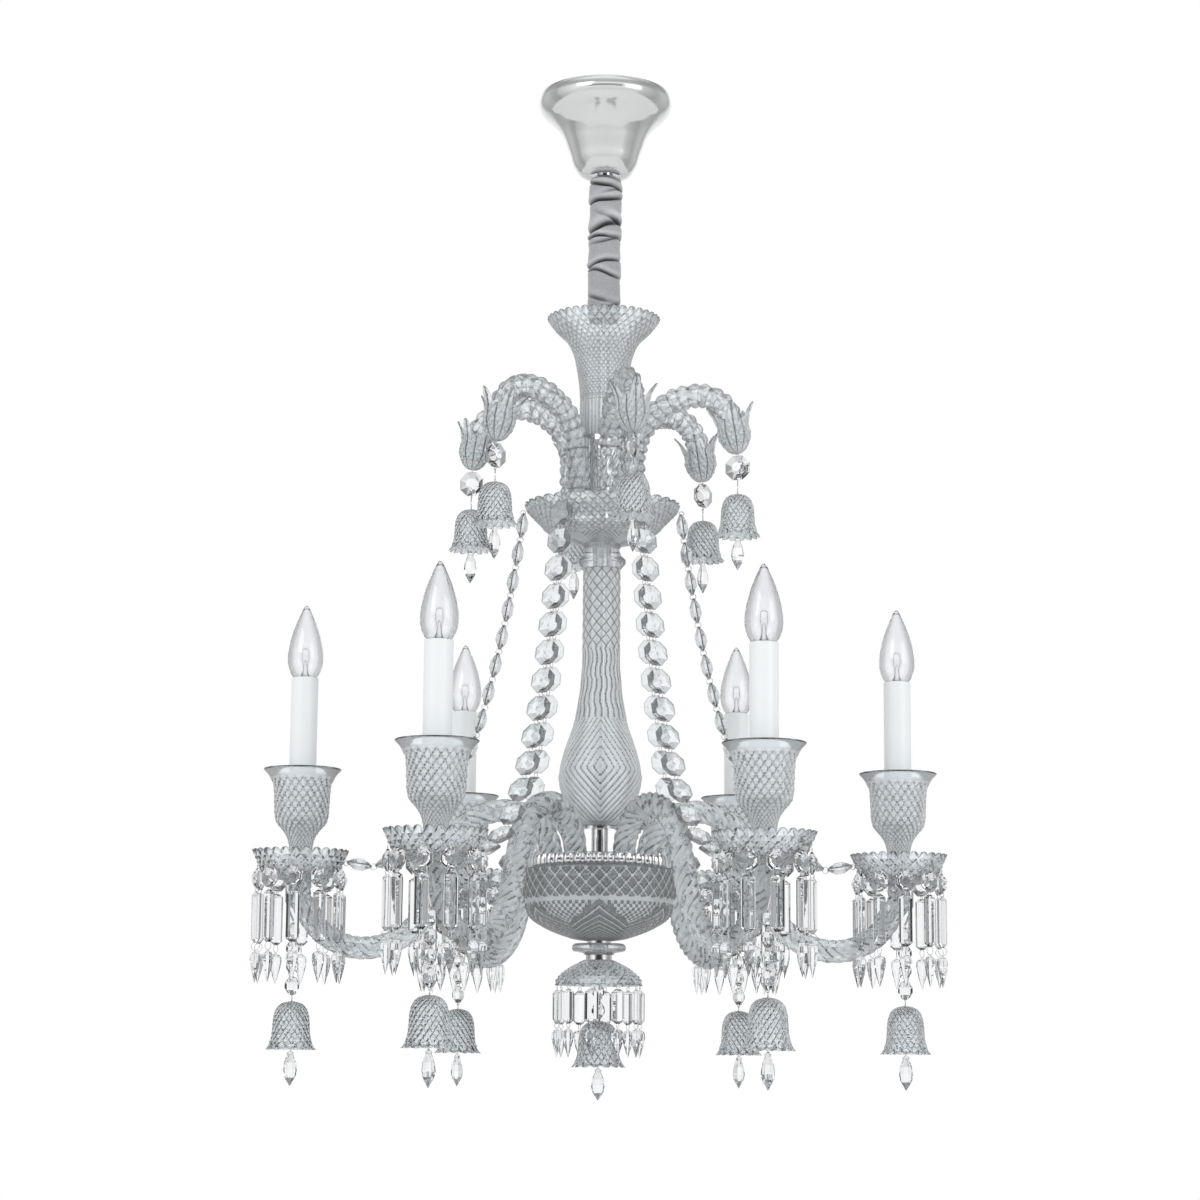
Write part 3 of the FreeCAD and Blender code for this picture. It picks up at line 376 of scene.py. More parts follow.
def vessel(profile, inner, cols, pattern, depth, aspect, tone, period=4, bore=0.0, scallops=None,
           plain_from=None, inner_rows=14):
    """A hollow cut-glass vessel turned about Z.

    The outer wall follows the profile from foot to rim, cut by pattern(column, row), and is plain from a
    given height. The inner wall is smooth, and a half round joins the two. Scallops are a count of lobes,
    their swell and lift, and how far below the rim they begin."""
    line = cut_line(profile, cols, aspect)
    n = len(line)
    a, b = np.meshgrid(np.arange(cols), np.arange(n))
    high = pattern(a, b).astype(float)
    plain_rows = n if plain_from is None else int(np.searchsorted(line[:, 1], plain_from))
    high[plain_rows:] = 1.0
    r, z = cut_wall(line, high, depth, period)
    inside = smooth_line(inner, inner_rows)
    middle = (line[-1] + inside[0]) / 2
    half = (line[-1] - inside[0]) / 2
    side = np.array([-half[1], half[0]]) * 0.7
    turn = math.pi * np.array([[0.25], [0.5], [0.75]])
    tail_r, tail_z = spread(np.vstack([middle + half * np.cos(turn) + side * np.sin(turn), inside]), cols)
    r = np.vstack([r, tail_r])
    z = np.vstack([z, tail_z])
    high = np.vstack([high, np.ones(tail_r.shape)])
    if scallops:
        count, swell, lift, tall = scallops
        theta = np.arange(cols) / cols * TAU
        top = profile[-1][1]
        weight = np.clip((z - top + tall) / tall, 0, 1) ** 2
        lobe = np.abs(np.cos(theta * count / 2)) ** 0.7 * 2 - 1
        r = r + weight * swell * lobe
        z = z + weight * lift * lobe
    # the tone paints shade and glints on the outer facets; the inner wall is left clear and plain ground
    # nearly so
    if bore:
        hole = np.full((1, cols), bore)
        r = np.vstack([hole, r, hole])
        z = np.vstack([np.full((1, cols), profile[0][1]), z, np.full((1, cols), inner[-1][1])])
        high = np.vstack([np.ones((1, cols)), high, np.ones((1, cols))])
        points, tris = lattice(wheel(r, z), high, closed_rows=True)
        cuts = painted_facet_shades(high, tone, True)
        smooth_from, smooth_to, first_row = n, -4 * cols, 1
    else:
        points, tris = lattice(wheel(r, z), high, cap_first=True, cap_last=True)
        cuts = np.concatenate([painted_facet_shades(high, tone), np.ones(2 * cols)])
        smooth_from, smooth_to, first_row = n - 1, None, 0
    flags = np.zeros(len(tris), bool)
    flags[2 * cols * smooth_from:smooth_to] = True
    cuts[2 * cols * smooth_from:] = 1.0
    cuts[2 * cols * (plain_rows + first_row):2 * cols * n] = 0.85
    return Mesh(points, tris, flags, cuts)


# ---------------------------------------------------------------- plain shapes

def turned(profile, cols=48, smooth=True, joined=False):
    """A solid of revolution through (r, z) corners that climb on the outside."""
    points, tris = lattice(wheel(*spread(profile, cols)), closed_rows=joined, cap_first=not joined,
                           cap_last=not joined)
    return Mesh(points, tris, smooth)


def rounded(profile, size=0.6):
    """(r, z) corners with each inner corner swapped for three close points, for a soft edge."""
    p = np.asarray(profile, float)
    result = [p[0]]
    for k in range(1, len(p) - 1):
        before = p[k - 1] - p[k]
        after = p[k + 1] - p[k]
        la, lb = np.linalg.norm(before), np.linalg.norm(after)
        s = min(size, la * 0.4, lb * 0.4)
        result.append(p[k] + before / la * s)
        result.append(p[k] + (before / la + after / lb) * s * 0.25)
        result.append(p[k] + after / lb * s)
    result.append(p[-1])
    return result


def gem(rows, flatness, sides=8):
    """A faceted crystal along Z from rows of (height, half width), top to bottom, narrower in Y."""
    angle = (np.arange(sides) + 0.5) / sides * TAU
    rings = [np.stack([half * np.cos(angle), half * flatness * np.sin(angle), np.full(sides, z)], 1)
             for z, half in rows[::-1]]
    return Mesh(*lattice(np.array(rings), cap_first=True, cap_last=True))


def octagon(width, thick):
    """A cut octagon bead that faces Y: girdle, eight radial facets and a small table on each side."""
    half = width / 2
    girdle = thick * 0.09
    angle = (np.arange(8) + 0.5) / 8 * TAU
    rings = [np.stack([half * share * np.cos(angle), half * share * np.sin(angle), np.full(8, depth)], 1)
             for share, depth in ((0.34, -thick / 2), (1.0, -girdle), (1.0, girdle), (0.34, thick / 2))]
    points, tris = lattice(np.array(rings), cap_first=True, cap_last=True)
    return Mesh(np.stack([points[:, 0], -points[:, 2], points[:, 1]], 1), tris)


def hoop(radius, wire, sides=10, around=16):
    """A wire ring about Y."""
    u = np.arange(around) / around * TAU
    v = np.arange(sides) / sides * TAU
    uu, vv = np.meshgrid(u, v, indexing="ij")
    out = radius + wire * np.cos(vv)
    grid = np.stack([out * np.cos(uu), -wire * np.sin(vv), out * np.sin(uu)], 2)
    points, tris = lattice(grid, closed_rows=True)
    return Mesh(points, tris[:, ::-1], True)


def tube(line, radius, sides=8):
    """A round wire along 3-D points, its first normal carried along."""
    p = np.asarray(line, float)
    run = directions(p)
    side = np.cross(run[0], [0.3, 1.0, 0.1])
    side /= np.linalg.norm(side)
    rings = []
    angle = np.arange(sides) / sides * TAU
    for k in range(len(p)):
        side = side - run[k] * side.dot(run[k])
        side /= np.linalg.norm(side)
        other = np.cross(run[k], side)
        rings.append(p[k] + radius * (np.outer(np.cos(angle), side) + np.outer(np.sin(angle), other)))
    return Mesh(*lattice(np.array(rings), cap_first=True, cap_last=True), True)


# ---------------------------------------------------------------- materials

def fill(tree, node, inputs):
    """Sets inputs of a node: each is a value or the output of another node."""
    for key, value in inputs.items():
        if isinstance(value, bpy.types.NodeSocket):
            tree.links.new(value, node.inputs[key])
        else:
            node.inputs[key].default_value = value


def add_node(tree, kind, inputs=None, **settings):
    """A new shader node with its settings and inputs."""
    node = tree.nodes.new("ShaderNode" + kind)
    for key, value in settings.items():
        setattr(node, key, value)
    fill(tree, node, inputs or {})
    return node


def ramp(tree, factor, stops):
    """The grey that a factor has on a ramp of (place, grey) stops."""
    node = add_node(tree, "ValToRGB", {"Fac": factor})
    elements = node.color_ramp.elements
    while len(elements) > 1:
        elements.remove(elements[-1])
    elements[0].position = stops[0][0]
    elements[0].color = (stops[0][1],) * 3 + (1,)
    for place, grey in stops[1:]:
        elements.new(place).color = (grey,) * 3 + (1,)
    return node.outputs["Color"]


def multiplied(tree, first, second):
    """Two colours multiplied."""
    settings = {"data_type": "RGBA", "blend_type": "MULTIPLY"}
    return add_node(tree, "Mix", {0: 1.0, 6: first, 7: second}, **settings).outputs[2]


def blended(tree, share, first, second):
    """Two shaders mixed: all of the first at a share of 0, all of the second at 1."""
    return add_node(tree, "MixShader", {0: share, 1: first, 2: second}).outputs[0]


def computed(tree, operation, *values):
    """A number worked out from others."""
    return add_node(tree, "Math", dict(enumerate(values)), operation=operation).outputs[0]


def painted_shade_value(tree):
    """The cut value of the face that is shaded: its painted shade and glints."""
    return add_node(tree, "Attribute", attribute_name="cut").outputs["Fac"]


def plain(name, colour, rough, metal=0.0, coat=0.0):
    """A material of one colour."""
    material = bpy.data.materials.new(name)
    material.use_nodes = True
    tree = material.node_tree
    look = {"Base Color": (*colour, 1), "Roughness": rough, "Metallic": metal, "Coat Weight": coat}
    fill(tree, tree.nodes["Principled BSDF"], look)
    return material


def glass(name, colour, ior=1.5, thin=0.0, veil_share=0.4):
    """Clear glass; light meant for shadows passes straight through.

    Cut glass is a thin wall for a share of the light, thin: it lets what is behind it through, under a
    diffuse veil that thins where the cut value is high, painting glints there, and mirrors more at a slant.
    Its cool
    tint carries painted shade: darker where the cut value is low, in the grooves, and where the surface turns
    away, at the edges."""
    material = plain(name, colour, 0.0)
    tree = material.node_tree
    shader = tree.nodes["Principled BSDF"]
    fill(tree, shader, {"IOR": ior, "Transmission Weight": 1.0})
    surface = shader.outputs[0]
    if thin:
        cut = painted_shade_value(tree)
        # painted shade: the tint darkens in the grooves, by the cut value, and at the edges that turn away
        groove = ramp(tree, cut, [(0.0, 0.05), (0.2, 0.36), (0.36, 0.84), (0.5, 0.98), (1.0, 1.0)])
        facing = add_node(tree, "LayerWeight", {"Blend": 0.5}).outputs["Facing"]
        edge = ramp(tree, facing, [(0.0, 1.0), (0.6, 1.0), (0.85, 0.86), (1.0, 0.5)])
        tint = multiplied(tree, multiplied(tree, groove, edge), (0.955, 0.985, 1.0, 1))
        through = add_node(tree, "BsdfTransparent", {"Color": tint}).outputs[0]
        glow = add_node(tree, "BsdfTranslucent", {"Color": tint}).outputs[0]
        face = add_node(tree, "BsdfDiffuse", {"Color": tint}).outputs[0]
        veil = blended(tree, 0.95, glow, face)
        thinning = [(0.0, 1.0), (0.8, 1.0), (0.92, 0.3), (1.0, 0.15)]
        share = ramp(tree, cut, [(place, veil_share * part) for place, part in thinning])
        sheer = blended(tree, share, through, veil)
        mirror = add_node(tree, "BsdfGlossy", {"Roughness": 0.03}).outputs[0]
        slant = add_node(tree, "Fresnel", {"IOR": 1.3}).outputs[0]
        surface = blended(tree, thin, surface, blended(tree, slant, sheer, mirror))
    clear = add_node(tree, "BsdfTransparent", {"Color": (0.93, 0.94, 0.95, 1)}).outputs[0]
    shadow = add_node(tree, "LightPath").outputs["Is Shadow Ray"]
    fill(tree, tree.nodes["Material Output"], {"Surface": blended(tree, shadow, surface, clear)})
    return material


def velvet_material():
    """Grey velvet: a fine nap in noise, with painted shade where the cut value says the cloth dips and
    painted light where it bulges.
    """
    material = plain("velvet", (0.8, 0.8, 0.8), 0.85)
    tree = material.node_tree
    place = add_node(tree, "TexCoord").outputs["Object"]
    nap = add_node(tree, "TexNoise", {"Vector": place, "Scale": 420.0, "Detail": 4.0}).outputs["Fac"]
    grey = add_node(tree, "ValToRGB", {"Fac": nap})
    grey.color_ramp.elements[0].color = (0.29, 0.295, 0.31, 1)
    grey.color_ramp.elements[1].color = (0.43, 0.435, 0.45, 1)
    # painted crease shade: darkens the nap in the creases and lightens it on the bulges
    painted_crease_shade = ramp(tree, painted_shade_value(tree), [(0.0, 0.05), (0.3, 0.3), (0.5, 0.7), (0.62, 0.95), (1.0, 1.5)])
    bump = add_node(tree, "Bump", {"Strength": 0.35, "Distance": 0.0006, "Height": nap})
    look = {"Base Color": multiplied(tree, grey.outputs["Color"], painted_crease_shade), "Normal": bump.outputs["Normal"],
            "Sheen Weight": 0.6, "Sheen Roughness": 0.4}
    fill(tree, tree.nodes["Principled BSDF"], look)
    return material


CRYSTAL = glass("crystal", (0.93, 0.945, 0.95), ior=1.5, thin=0.4, veil_share=0.5)
CUT = glass("crystal_cut", (0.945, 0.96, 0.97), ior=1.5, thin=0.88, veil_share=0.52)
CLEAR = glass("crystal_clear", (0.97, 0.98, 0.985), ior=1.4, thin=0.92, veil_share=0.55)
ROD = glass("crystal_rod", (0.93, 0.95, 0.96), ior=1.45, thin=0.6, veil_share=0.4)
TWIST = glass("crystal_twist", (0.95, 0.965, 0.975), ior=1.45, thin=0.78, veil_share=0.5)
BEAD = glass("crystal_bead", (0.95, 0.96, 0.97), ior=1.5)
PALE = glass("crystal_pale", (0.93, 0.945, 0.95), ior=1.34, thin=0.4, veil_share=0.2)
BULB = glass("bulb_glass", (0.965, 0.96, 0.97), ior=1.45, thin=0.2, veil_share=0.12)
CHROME = plain("chrome", (0.86, 0.86, 0.87), 0.06, metal=1.0)
POLISHED = plain("chrome_polished", (0.70, 0.71, 0.71), 0.10, metal=0.6, coat=0.6)
STEEL = plain("steel_plate", (0.75, 0.75, 0.76), 0.35, metal=1.0)
WHITE = plain("candle_white", (0.80, 0.83, 0.84), 0.3)
HOLDER = plain("holder_plastic", (0.82, 0.82, 0.80), 0.5)
BRASS = plain("brass_thread", (0.84, 0.82, 0.77), 0.25, metal=1.0)
CABLE = plain("cable_sheath", (0.78, 0.80, 0.81), 0.3)
TERMINAL = plain("terminal_plastic", (0.88, 0.88, 0.86), 0.5)
DARK = plain("filament", (0.18, 0.18, 0.18), 0.4, metal=1.0)
VELVET = velvet_material()

CAD_LOOK = {
    "chrome": CHROME, "steel_plate": STEEL, "candle_white": WHITE, "holder_plastic": HOLDER,
    "brass_thread": BRASS, "cable_sheath": CABLE, "terminal_plastic": TERMINAL, "velvet": VELVET,
    "crystal": BEAD, "bulb_glass": BEAD,
}
for entry in frame["record"]["subparts"]:
    node = frame["nodes"].get(entry["node"])
    if node is not None:
        node.data.materials.clear()
        node.data.materials.append(CAD_LOOK[entry["material_slot"]])


# ---------------------------------------------------------------- ceiling cup and sleeve

def make_canopy():
    """Bell-shaped ceiling cup of thin polished metal, with a rolled lip at the top."""
    outer = [(19.0, 0), (23.5, 1.2), (27.0, 4.0), (32.0, 12.0), (35.0, 22.0), (38.6, 32.0), (39.6, 35.0),
             (41.5, 40.0), (46.0, 48.0), (54.0, 57.0), (61.5, 64.0), (65.6, 70.0), (67.0, 76.0), (65.8, 82.0)]
    thick = 1.2
    line = smooth_line(outer, 60) + np.array([0, CANOPY_LOW])
    wall = line - outward(line) * thick
    floor = [(5.3, CANOPY_LOW), (5.3, CANOPY_LOW + thick)]
    rows = [floor[0], *line, (64.0, -0.6), (62.0, -0.2), *wall[::-1], floor[1]]
    show(turned(rows, 96, joined=True), "canopy_cup", POLISHED, "ceiling", "chrome", "canopy")


def make_sleeve():
    """Gathered sleeve: a tube with slanted creases. Each crease sinks the radius at a height that
    falls or climbs with the cosine of the angle, deepest at its own side; the cloth bulges beside it. Its cut
    values
    are painted crease shade: darker where the radius sinks, lighter where it bulges."""
    top = CANOPY_LOW - 2.3
    rows, cols = 220, 80
    theta = np.arange(cols)[None, :] / cols * TAU
    z = SLEEVE_LOW + (top - SLEEVE_LOW) * np.linspace(0, 1, rows)[:, None]
    low_hem = 1.4 * np.clip(1 - (z - SLEEVE_LOW) / 9, 0, 1)
    top_hem = 3.0 * np.clip(1 - (top - z) / 3.5, 0, 1) ** 2
    even = 16.3 - low_hem - top_hem + 0 * theta
    # height, slant, depth, width, side in degrees, and how closely it keeps to that side
    creases = [(-91, 1.5, 1.6, 2.0, -100, 0.3), (-99.3, 4.2, 2.8, 2.2, -110, 0.2),
               (-106, -3.0, 1.2, 1.6, -60, 0.5), (-114, -2.4, 3.0, 2.3, -100, 0.15),
               (-123, 3.0, 1.4, 2.2, 60, 0.4), (-131, 8.0, 2.6, 2.6, -40, 0.5),
               (-141.5, -5.2, 3.2, 3.4, -105, 0.3), (-152.0, -0.6, 3.6, 1.6, -130, 0.3),
               (-156.7, -3.4, 1.6, 1.8, -70, 0.3), (-168, 4.0, 1.3, 3.0, 90, 0.4),
               (-178.6, -3.8, 3.0, 1.7, -110, 0.2), (-190.0, 4.6, 2.4, 1.7, -90, 0.25),
               (-203, -5.0, 1.5, 3.4, 70, 0.4), (-219, 5.5, 1.5, 2.4, -120, 0.6),
               (-227, -6.5, 1.4, 2.2, -50, 0.6)]
    radius = even
    for height, slant, depth, width, side, close in creases:
        weight = (0.5 + 0.5 * np.cos(theta - math.radians(side))) ** (close * 6)
        across = z - height + slant * np.cos(theta) + 0.8 * np.sin(3 * theta + height)
        narrow = np.where(across < 0, 0.45, 1.0) * width
        radius = radius - 1.3 * depth * weight * np.exp(-(across / narrow) ** 2)
        radius = radius + 0.42 * depth * weight * np.exp(-((across - 2.4 * width) / (1.5 * width)) ** 2)
    # painted crease shade for each face, from how far the radius sinks below or swells above the even tube
    painted_crease_shade = np.clip(0.62 + 0.20 * (radius - even), 0, 1)
    painted_crease_shade = np.repeat(((painted_crease_shade[1:] + painted_crease_shade[:-1]) / 2).ravel(), 2)
    radius = radius + 0.5 * np.sin(z / 6.1 + 1.5 * np.sin(theta)) * np.clip((z + 205) / 20, 0.3, 1)
    sway = 0.9 * np.clip((z + 160) / 30, 0, 1)
    grid = np.stack([radius * np.cos(theta) + sway, radius * np.sin(theta), z + 0 * theta], 2)
    climb = np.gradient(grid, axis=0)
    round_it = np.roll(grid, -1, 1) - np.roll(grid, 1, 1)
    normal = np.cross(round_it, climb)
    normal /= np.linalg.norm(normal, axis=2)[:, :, None] + 1e-12
    inner = grid - normal * 0.7
    inner[:, :, 2] = np.clip(inner[:, :, 2], SLEEVE_LOW, top)
    points, tris = lattice(np.concatenate([grid, inner[::-1]]), closed_rows=True)
    cuts = np.full(len(tris), 0.62)
    cuts[:len(painted_crease_shade)] = painted_crease_shade
    piece = show(Mesh(points, tris, True, cuts), "sleeve", VELVET, "chain", "velvet", "chain_sleeve")


# ---------------------------------------------------------------- column

def make_vase():
    """Trumpet vase: diamonds above, upright ribs on the stem, and where the two meet the lower of them."""
    tall, rim, stem = VASE_TALL, VASE_RIM, VASE_STEM
    outer = [(stem - 1, 0), (stem, 4), (stem, 20), (stem, 41), (stem + 1, 54), (stem + 3, 68),
             (stem + 6.4, 84), (stem + 13, 98), (stem + 25, 110), (rim - 1.0, tall - 1.6)]
    inner = [(rim - 3.6, tall - 1.2), (stem + 20, 109), (stem + 9, 98.5), (stem + 2.4, 85), (stem - 1, 69),
             (stem - 3, 54), (stem - 4, 41), (stem - 4, 20), (stem - 5, 8)]

    def pattern(a, b):
        n = b.max()
        fine = diamonds(a, b)
        ribs = flutes(a, b)
        return np.where(b > n * 0.40, fine, np.where(b < n * 0.33, ribs, np.minimum(fine, ribs)))
    shape = vessel(raised(outer, VASE_LOW), raised(inner, VASE_LOW), 144, pattern, depth=0.16, aspect=1.3,
                   tone=painted_groove_shading(0.5, 0.32), bore=PIPE_HOLE, scallops=(36, 0.8, 1.4, 7.0))
    show(shape, "vase", CUT, "frame", "crystal", "top_vase")


def make_dish():
    """Wide scalloped dish, cut in diamonds near the rim and nested grooves below."""
    tall, rim = DISH_TALL, DISH_RIM
    outer = [(DISH_FOOT, 0), (33, 3.2), (45, 6.5), (52, 11), (58, 15), (61, 19), (69, 27), (76, 34.5),
             (rim - 0.6, tall - 1.2)]
    inner = [(rim - 3.6, tall - 0.8), (71, 34.5), (65.5, 28.6), (58, 21.2), (54, 17.5), (49, 14.2),
             (43, 10.6), (18.4, 6)]

    def pattern(a, b):
        n = b.max()
        return np.where(b > n * 0.55, diamonds(a, b), nested(a, b, 32, n * 0.5))
    shape = vessel(raised(outer, DISH_LOW), raised(inner, DISH_LOW), 192, pattern, depth=0.2, aspect=1.1,
                   tone=painted_groove_shading(0.45, 0.32), bore=PIPE_HOLE, scallops=(32, 1.0, 1.5, 8.0))
    show(shape, "dish", CUT, "frame", "crystal", "upper_dish")


def make_neck():
    """Moulded glass ring between dish and baluster, with a waist above its round shoulder."""
    rows = rounded([(PIPE_HOLE, 0), (18.7, 0), (23.7, 6.4), (23.7, 9.4), (19.4, 13.5), (17.0, 19.5),
                    (20.0, 24.5), (PIPE_HOLE, 24.5)], 0.8)
    shape = turned(raised(rows, NECK_LOW), 72, smooth=False, joined=True)
    show(shape, "neck", CRYSTAL, "frame", "crystal", "neck_ring")


def make_baluster():
    """Long hollow baluster: a net on its stem, wavy ribs below, two panels of nested lozenges on the belly.

    The lozenges are waves of the distance from a panel's middle column plus that from the middle row; the
    ribs sway sideways with the sine of the row."""
    neck, belly = BALUSTER_NECK, BALUSTER_BELLY
    outer = [(20, 0), (26.5, 3), (29.6, 9), (32.5, 17), (belly - 2, 34), (belly, 44), (belly, 50),
             (belly - 3, 66), (belly - 8, 82), (belly - 13.5, 98), (belly - 16.5, 113), (belly - 19.5, 131),
             (neck + 1, 147), (neck, 160), (neck, 200), (neck, BALUSTER_TALL - 0.1)]
    inner = [(neck - 5.5, 233.5), (neck - 5.5, 190), (neck - 5.5, 158), (neck - 4.6, 146),
             (belly - 24.7, 130), (belly - 21.7, 112), (belly - 18.7, 97), (belly - 13.2, 81),
             (belly - 8.4, 66), (belly - 5.5, 50), (belly - 5.5, 43), (belly - 7.5, 34),
             (27, 18), (18, 9), (9, 3)]
    outer = raised(outer, BALUSTER_LOW)
    cols, aspect = 144, 1.2
    heights = cut_line(outer, cols, aspect)[:, 1] - BALUSTER_LOW
    middle, ribs_from, net_from = np.searchsorted(heights, [52.0, 102.0, 173.0])

    def pattern(a, b):
        side = np.abs(np.mod(a, cols / 2) - cols / 4)
        away = np.abs(b - middle)
        lozenge = np.clip(wave(side + np.where(b > middle, 0.7, 1.0) * away, 4) * 1.5, 0, 1)
        bend = a + np.round(1.4 * np.sin(b / 4.0))
        below = np.where(b > ribs_from, flutes(bend, b, 6), lozenge)
        return np.where(b > net_from, netted(a + 6, b, 12), below)
    shape = vessel(outer, raised(inner, BALUSTER_LOW), cols, pattern, depth=0.2, aspect=aspect,
                   tone=painted_groove_shading(0.5, 0.22), bore=PIPE_HOLE, inner_rows=40)
    show(shape, "baluster_glass", CLEAR, "frame", "crystal", "baluster")


def make_plate():
    """Plated disc with a deeply fluted edge, on its tube.

    The edge swells with a power of a cosine that has 36 lobes round."""
    top = BALUSTER_LOW - PLATE_TOP
    tube_and_disc = rounded([(PIPE_HOLE, -78), (9.4, -78), (9.4, -13), (60.0, -13)], 0.4)
    collar = rounded([(60.0, 0), (8.0, 0), (8.0, top - 3.2), (17, top - 3.2), (17, top),
                      (PIPE_HOLE, top)], 0.4)
    shape = turned(raised(tube_and_disc + collar, PLATE_TOP), 72, smooth=False, joined=True)
    cols = 432
    theta = np.arange(cols) / cols * TAU
    swell = 61.6 + 4.2 * np.abs(np.cos(theta * 18)) ** 0.7 - PLATE_RIM
    edge = np.array([(0.0, -12.8), (0.75, -12.7), (1.0, -11.6), (1.0, -1.6), (0.75, -0.5), (0.0, -0.2)])
    r = PLATE_RIM + edge[:, :1] * swell
    z = np.repeat(edge[:, 1:] + PLATE_TOP, cols, 1)
    shape.add(*lattice(wheel(r, z), closed_rows=True), True)
    show(shape, "plate", CHROME, "frame", "chrome", "arm_plate")


def make_bowl():
    """Deep bowl: a band of coarse diamonds below the rim, nested fans beneath with fine diamonds between.

    A fan is a wave of the row plus a share of the distance from its panel's middle column."""
    tall, rim = BOWL_TALL, BOWL_RIM
    outer = [(13, 0), (22, 1.3), (29.4, 3), (45, 8.5), (57, 14.5), (66, 20.5), (71, 29), (74, 46), (rim, 60),
             (rim, tall - 0.6)]
    inner = [(rim - 4.6, tall - 0.6), (rim - 5, 46), (66.5, 31), (61, 24), (53.5, 18.6), (42.5, 13.2),
             (24, 8)]

    def pattern(a, b):
        band = b.max() - 17
        coarse = np.clip(diamonds(a, b - band, 8) * 2.4, 0, 1)
        side = np.abs(np.mod(a, 48) - 24)
        fan = np.clip(wave(side * 0.8 + b - band, 6) * 1.8, 0, 1)
        fine = np.clip(diamonds(a, b, 4) * 1.3, 0, 1)
        below = np.where(side * 0.8 + b < band, fan, fine)
        return np.where(b > band, coarse, np.where(b > band - 2, 0.0, below))
    shape = vessel(raised(outer, BOWL_LOW), raised(inner, BOWL_LOW), 288, pattern, depth=0.12, aspect=1.05,
                   tone=painted_groove_shading(0.16, 0.45, edge=0.37, by_lean_to_light=0.06, by_chance=0.1), period=8, bore=PIPE_HOLE,
                   inner_rows=12)
    show(shape, "bowl", CUT, "frame", "crystal", "main_bowl")


def make_spool():
    """Glass disc tapering to its lower ring."""
    rows = rounded([(PIPE_HOLE, 0), (13.5, 0), (15.5, 2.0), (24.5, 3.6), (26, 5.2), (26, 8.8),
                    (24, SPOOL_TALL), (PIPE_HOLE, SPOOL_TALL)], 0.8)
    shape = turned(raised(rows, SPOOL_TOP - SPOOL_TALL), 72, joined=True)
    show(shape, "spool", CRYSTAL, "frame", "crystal", "bowl_spool")


def make_dome():
    """Dome open below, cut in diamonds down to its edge and in nested grooves at its crown."""
    tall, rim, cols = DOME_TALL, DOME_RIM, 112
    outer = [(rim, 0), (rim, 4), (41, 6.8), (38, 10.2), (34.5, 13.2), (27.5, 18), (21, 21.3), (14, tall)]
    inner = [(13.0, tall - 3.6), (19.5, 18.4), (25.5, 15.2), (32, 10.6), (35, 8), (37.6, 5), (38.8, 0.6)]
    line = cut_line(raised(outer, DOME_LOW), cols, 1.15)
    n = len(line)
    a, b = np.meshgrid(np.arange(cols), np.arange(n))
    last = b.max()
    high = np.where(b > last * 0.75, nested(a, b, 16, last), diamonds(a, b))
    r, z = cut_wall(line, high, 0.26, 4)
    hole = raised([(6.6, tall), (6.6, tall - 3.6)], DOME_LOW)
    tail_r, tail_z = spread(np.vstack([hole, smooth_line(raised(inner, DOME_LOW), 12)]), cols)
    high = np.vstack([high, np.ones(tail_r.shape)])
    points, tris = lattice(wheel(np.vstack([r, tail_r]), np.vstack([z, tail_z])), high, closed_rows=True)
    flags = np.zeros(len(tris), bool)
    flags[2 * cols * n:] = True
    shape = Mesh(points, tris, flags, painted_facet_shades(high, painted_sparkle(0.26), True))
    show(shape, "dome", CUT, "frame", "crystal", "bottom_dome")


# ---------------------------------------------------------------- arms

def track(r, z, heading, steps, gap):
    """Points of a path in the XZ plane, about one every gap; a step is (length, None) for a straight run or
    (radius, turn in degrees) for a bend."""
    points = [(r, z)]
    for size, turn in steps:
        a = math.radians(heading)
        start = np.array(points[-1])
        if turn is None:
            n = max(1, int(round(size / gap)))
            for k in range(1, n + 1):
                points.append(tuple(start + np.array([math.cos(a), math.sin(a)]) * size * k / n))
        else:
            side = 1.0 if turn > 0 else -1.0
            centre = start + np.array([-math.sin(a), math.cos(a)]) * size * side
            n = max(2, int(round(abs(math.radians(turn)) * size / gap)))
            for k in range(1, n + 1):
                b = math.radians(heading + turn * k / n)
                points.append(tuple(centre - np.array([-math.sin(b), math.cos(b)]) * size * side))
            heading += turn
    return np.array(points)


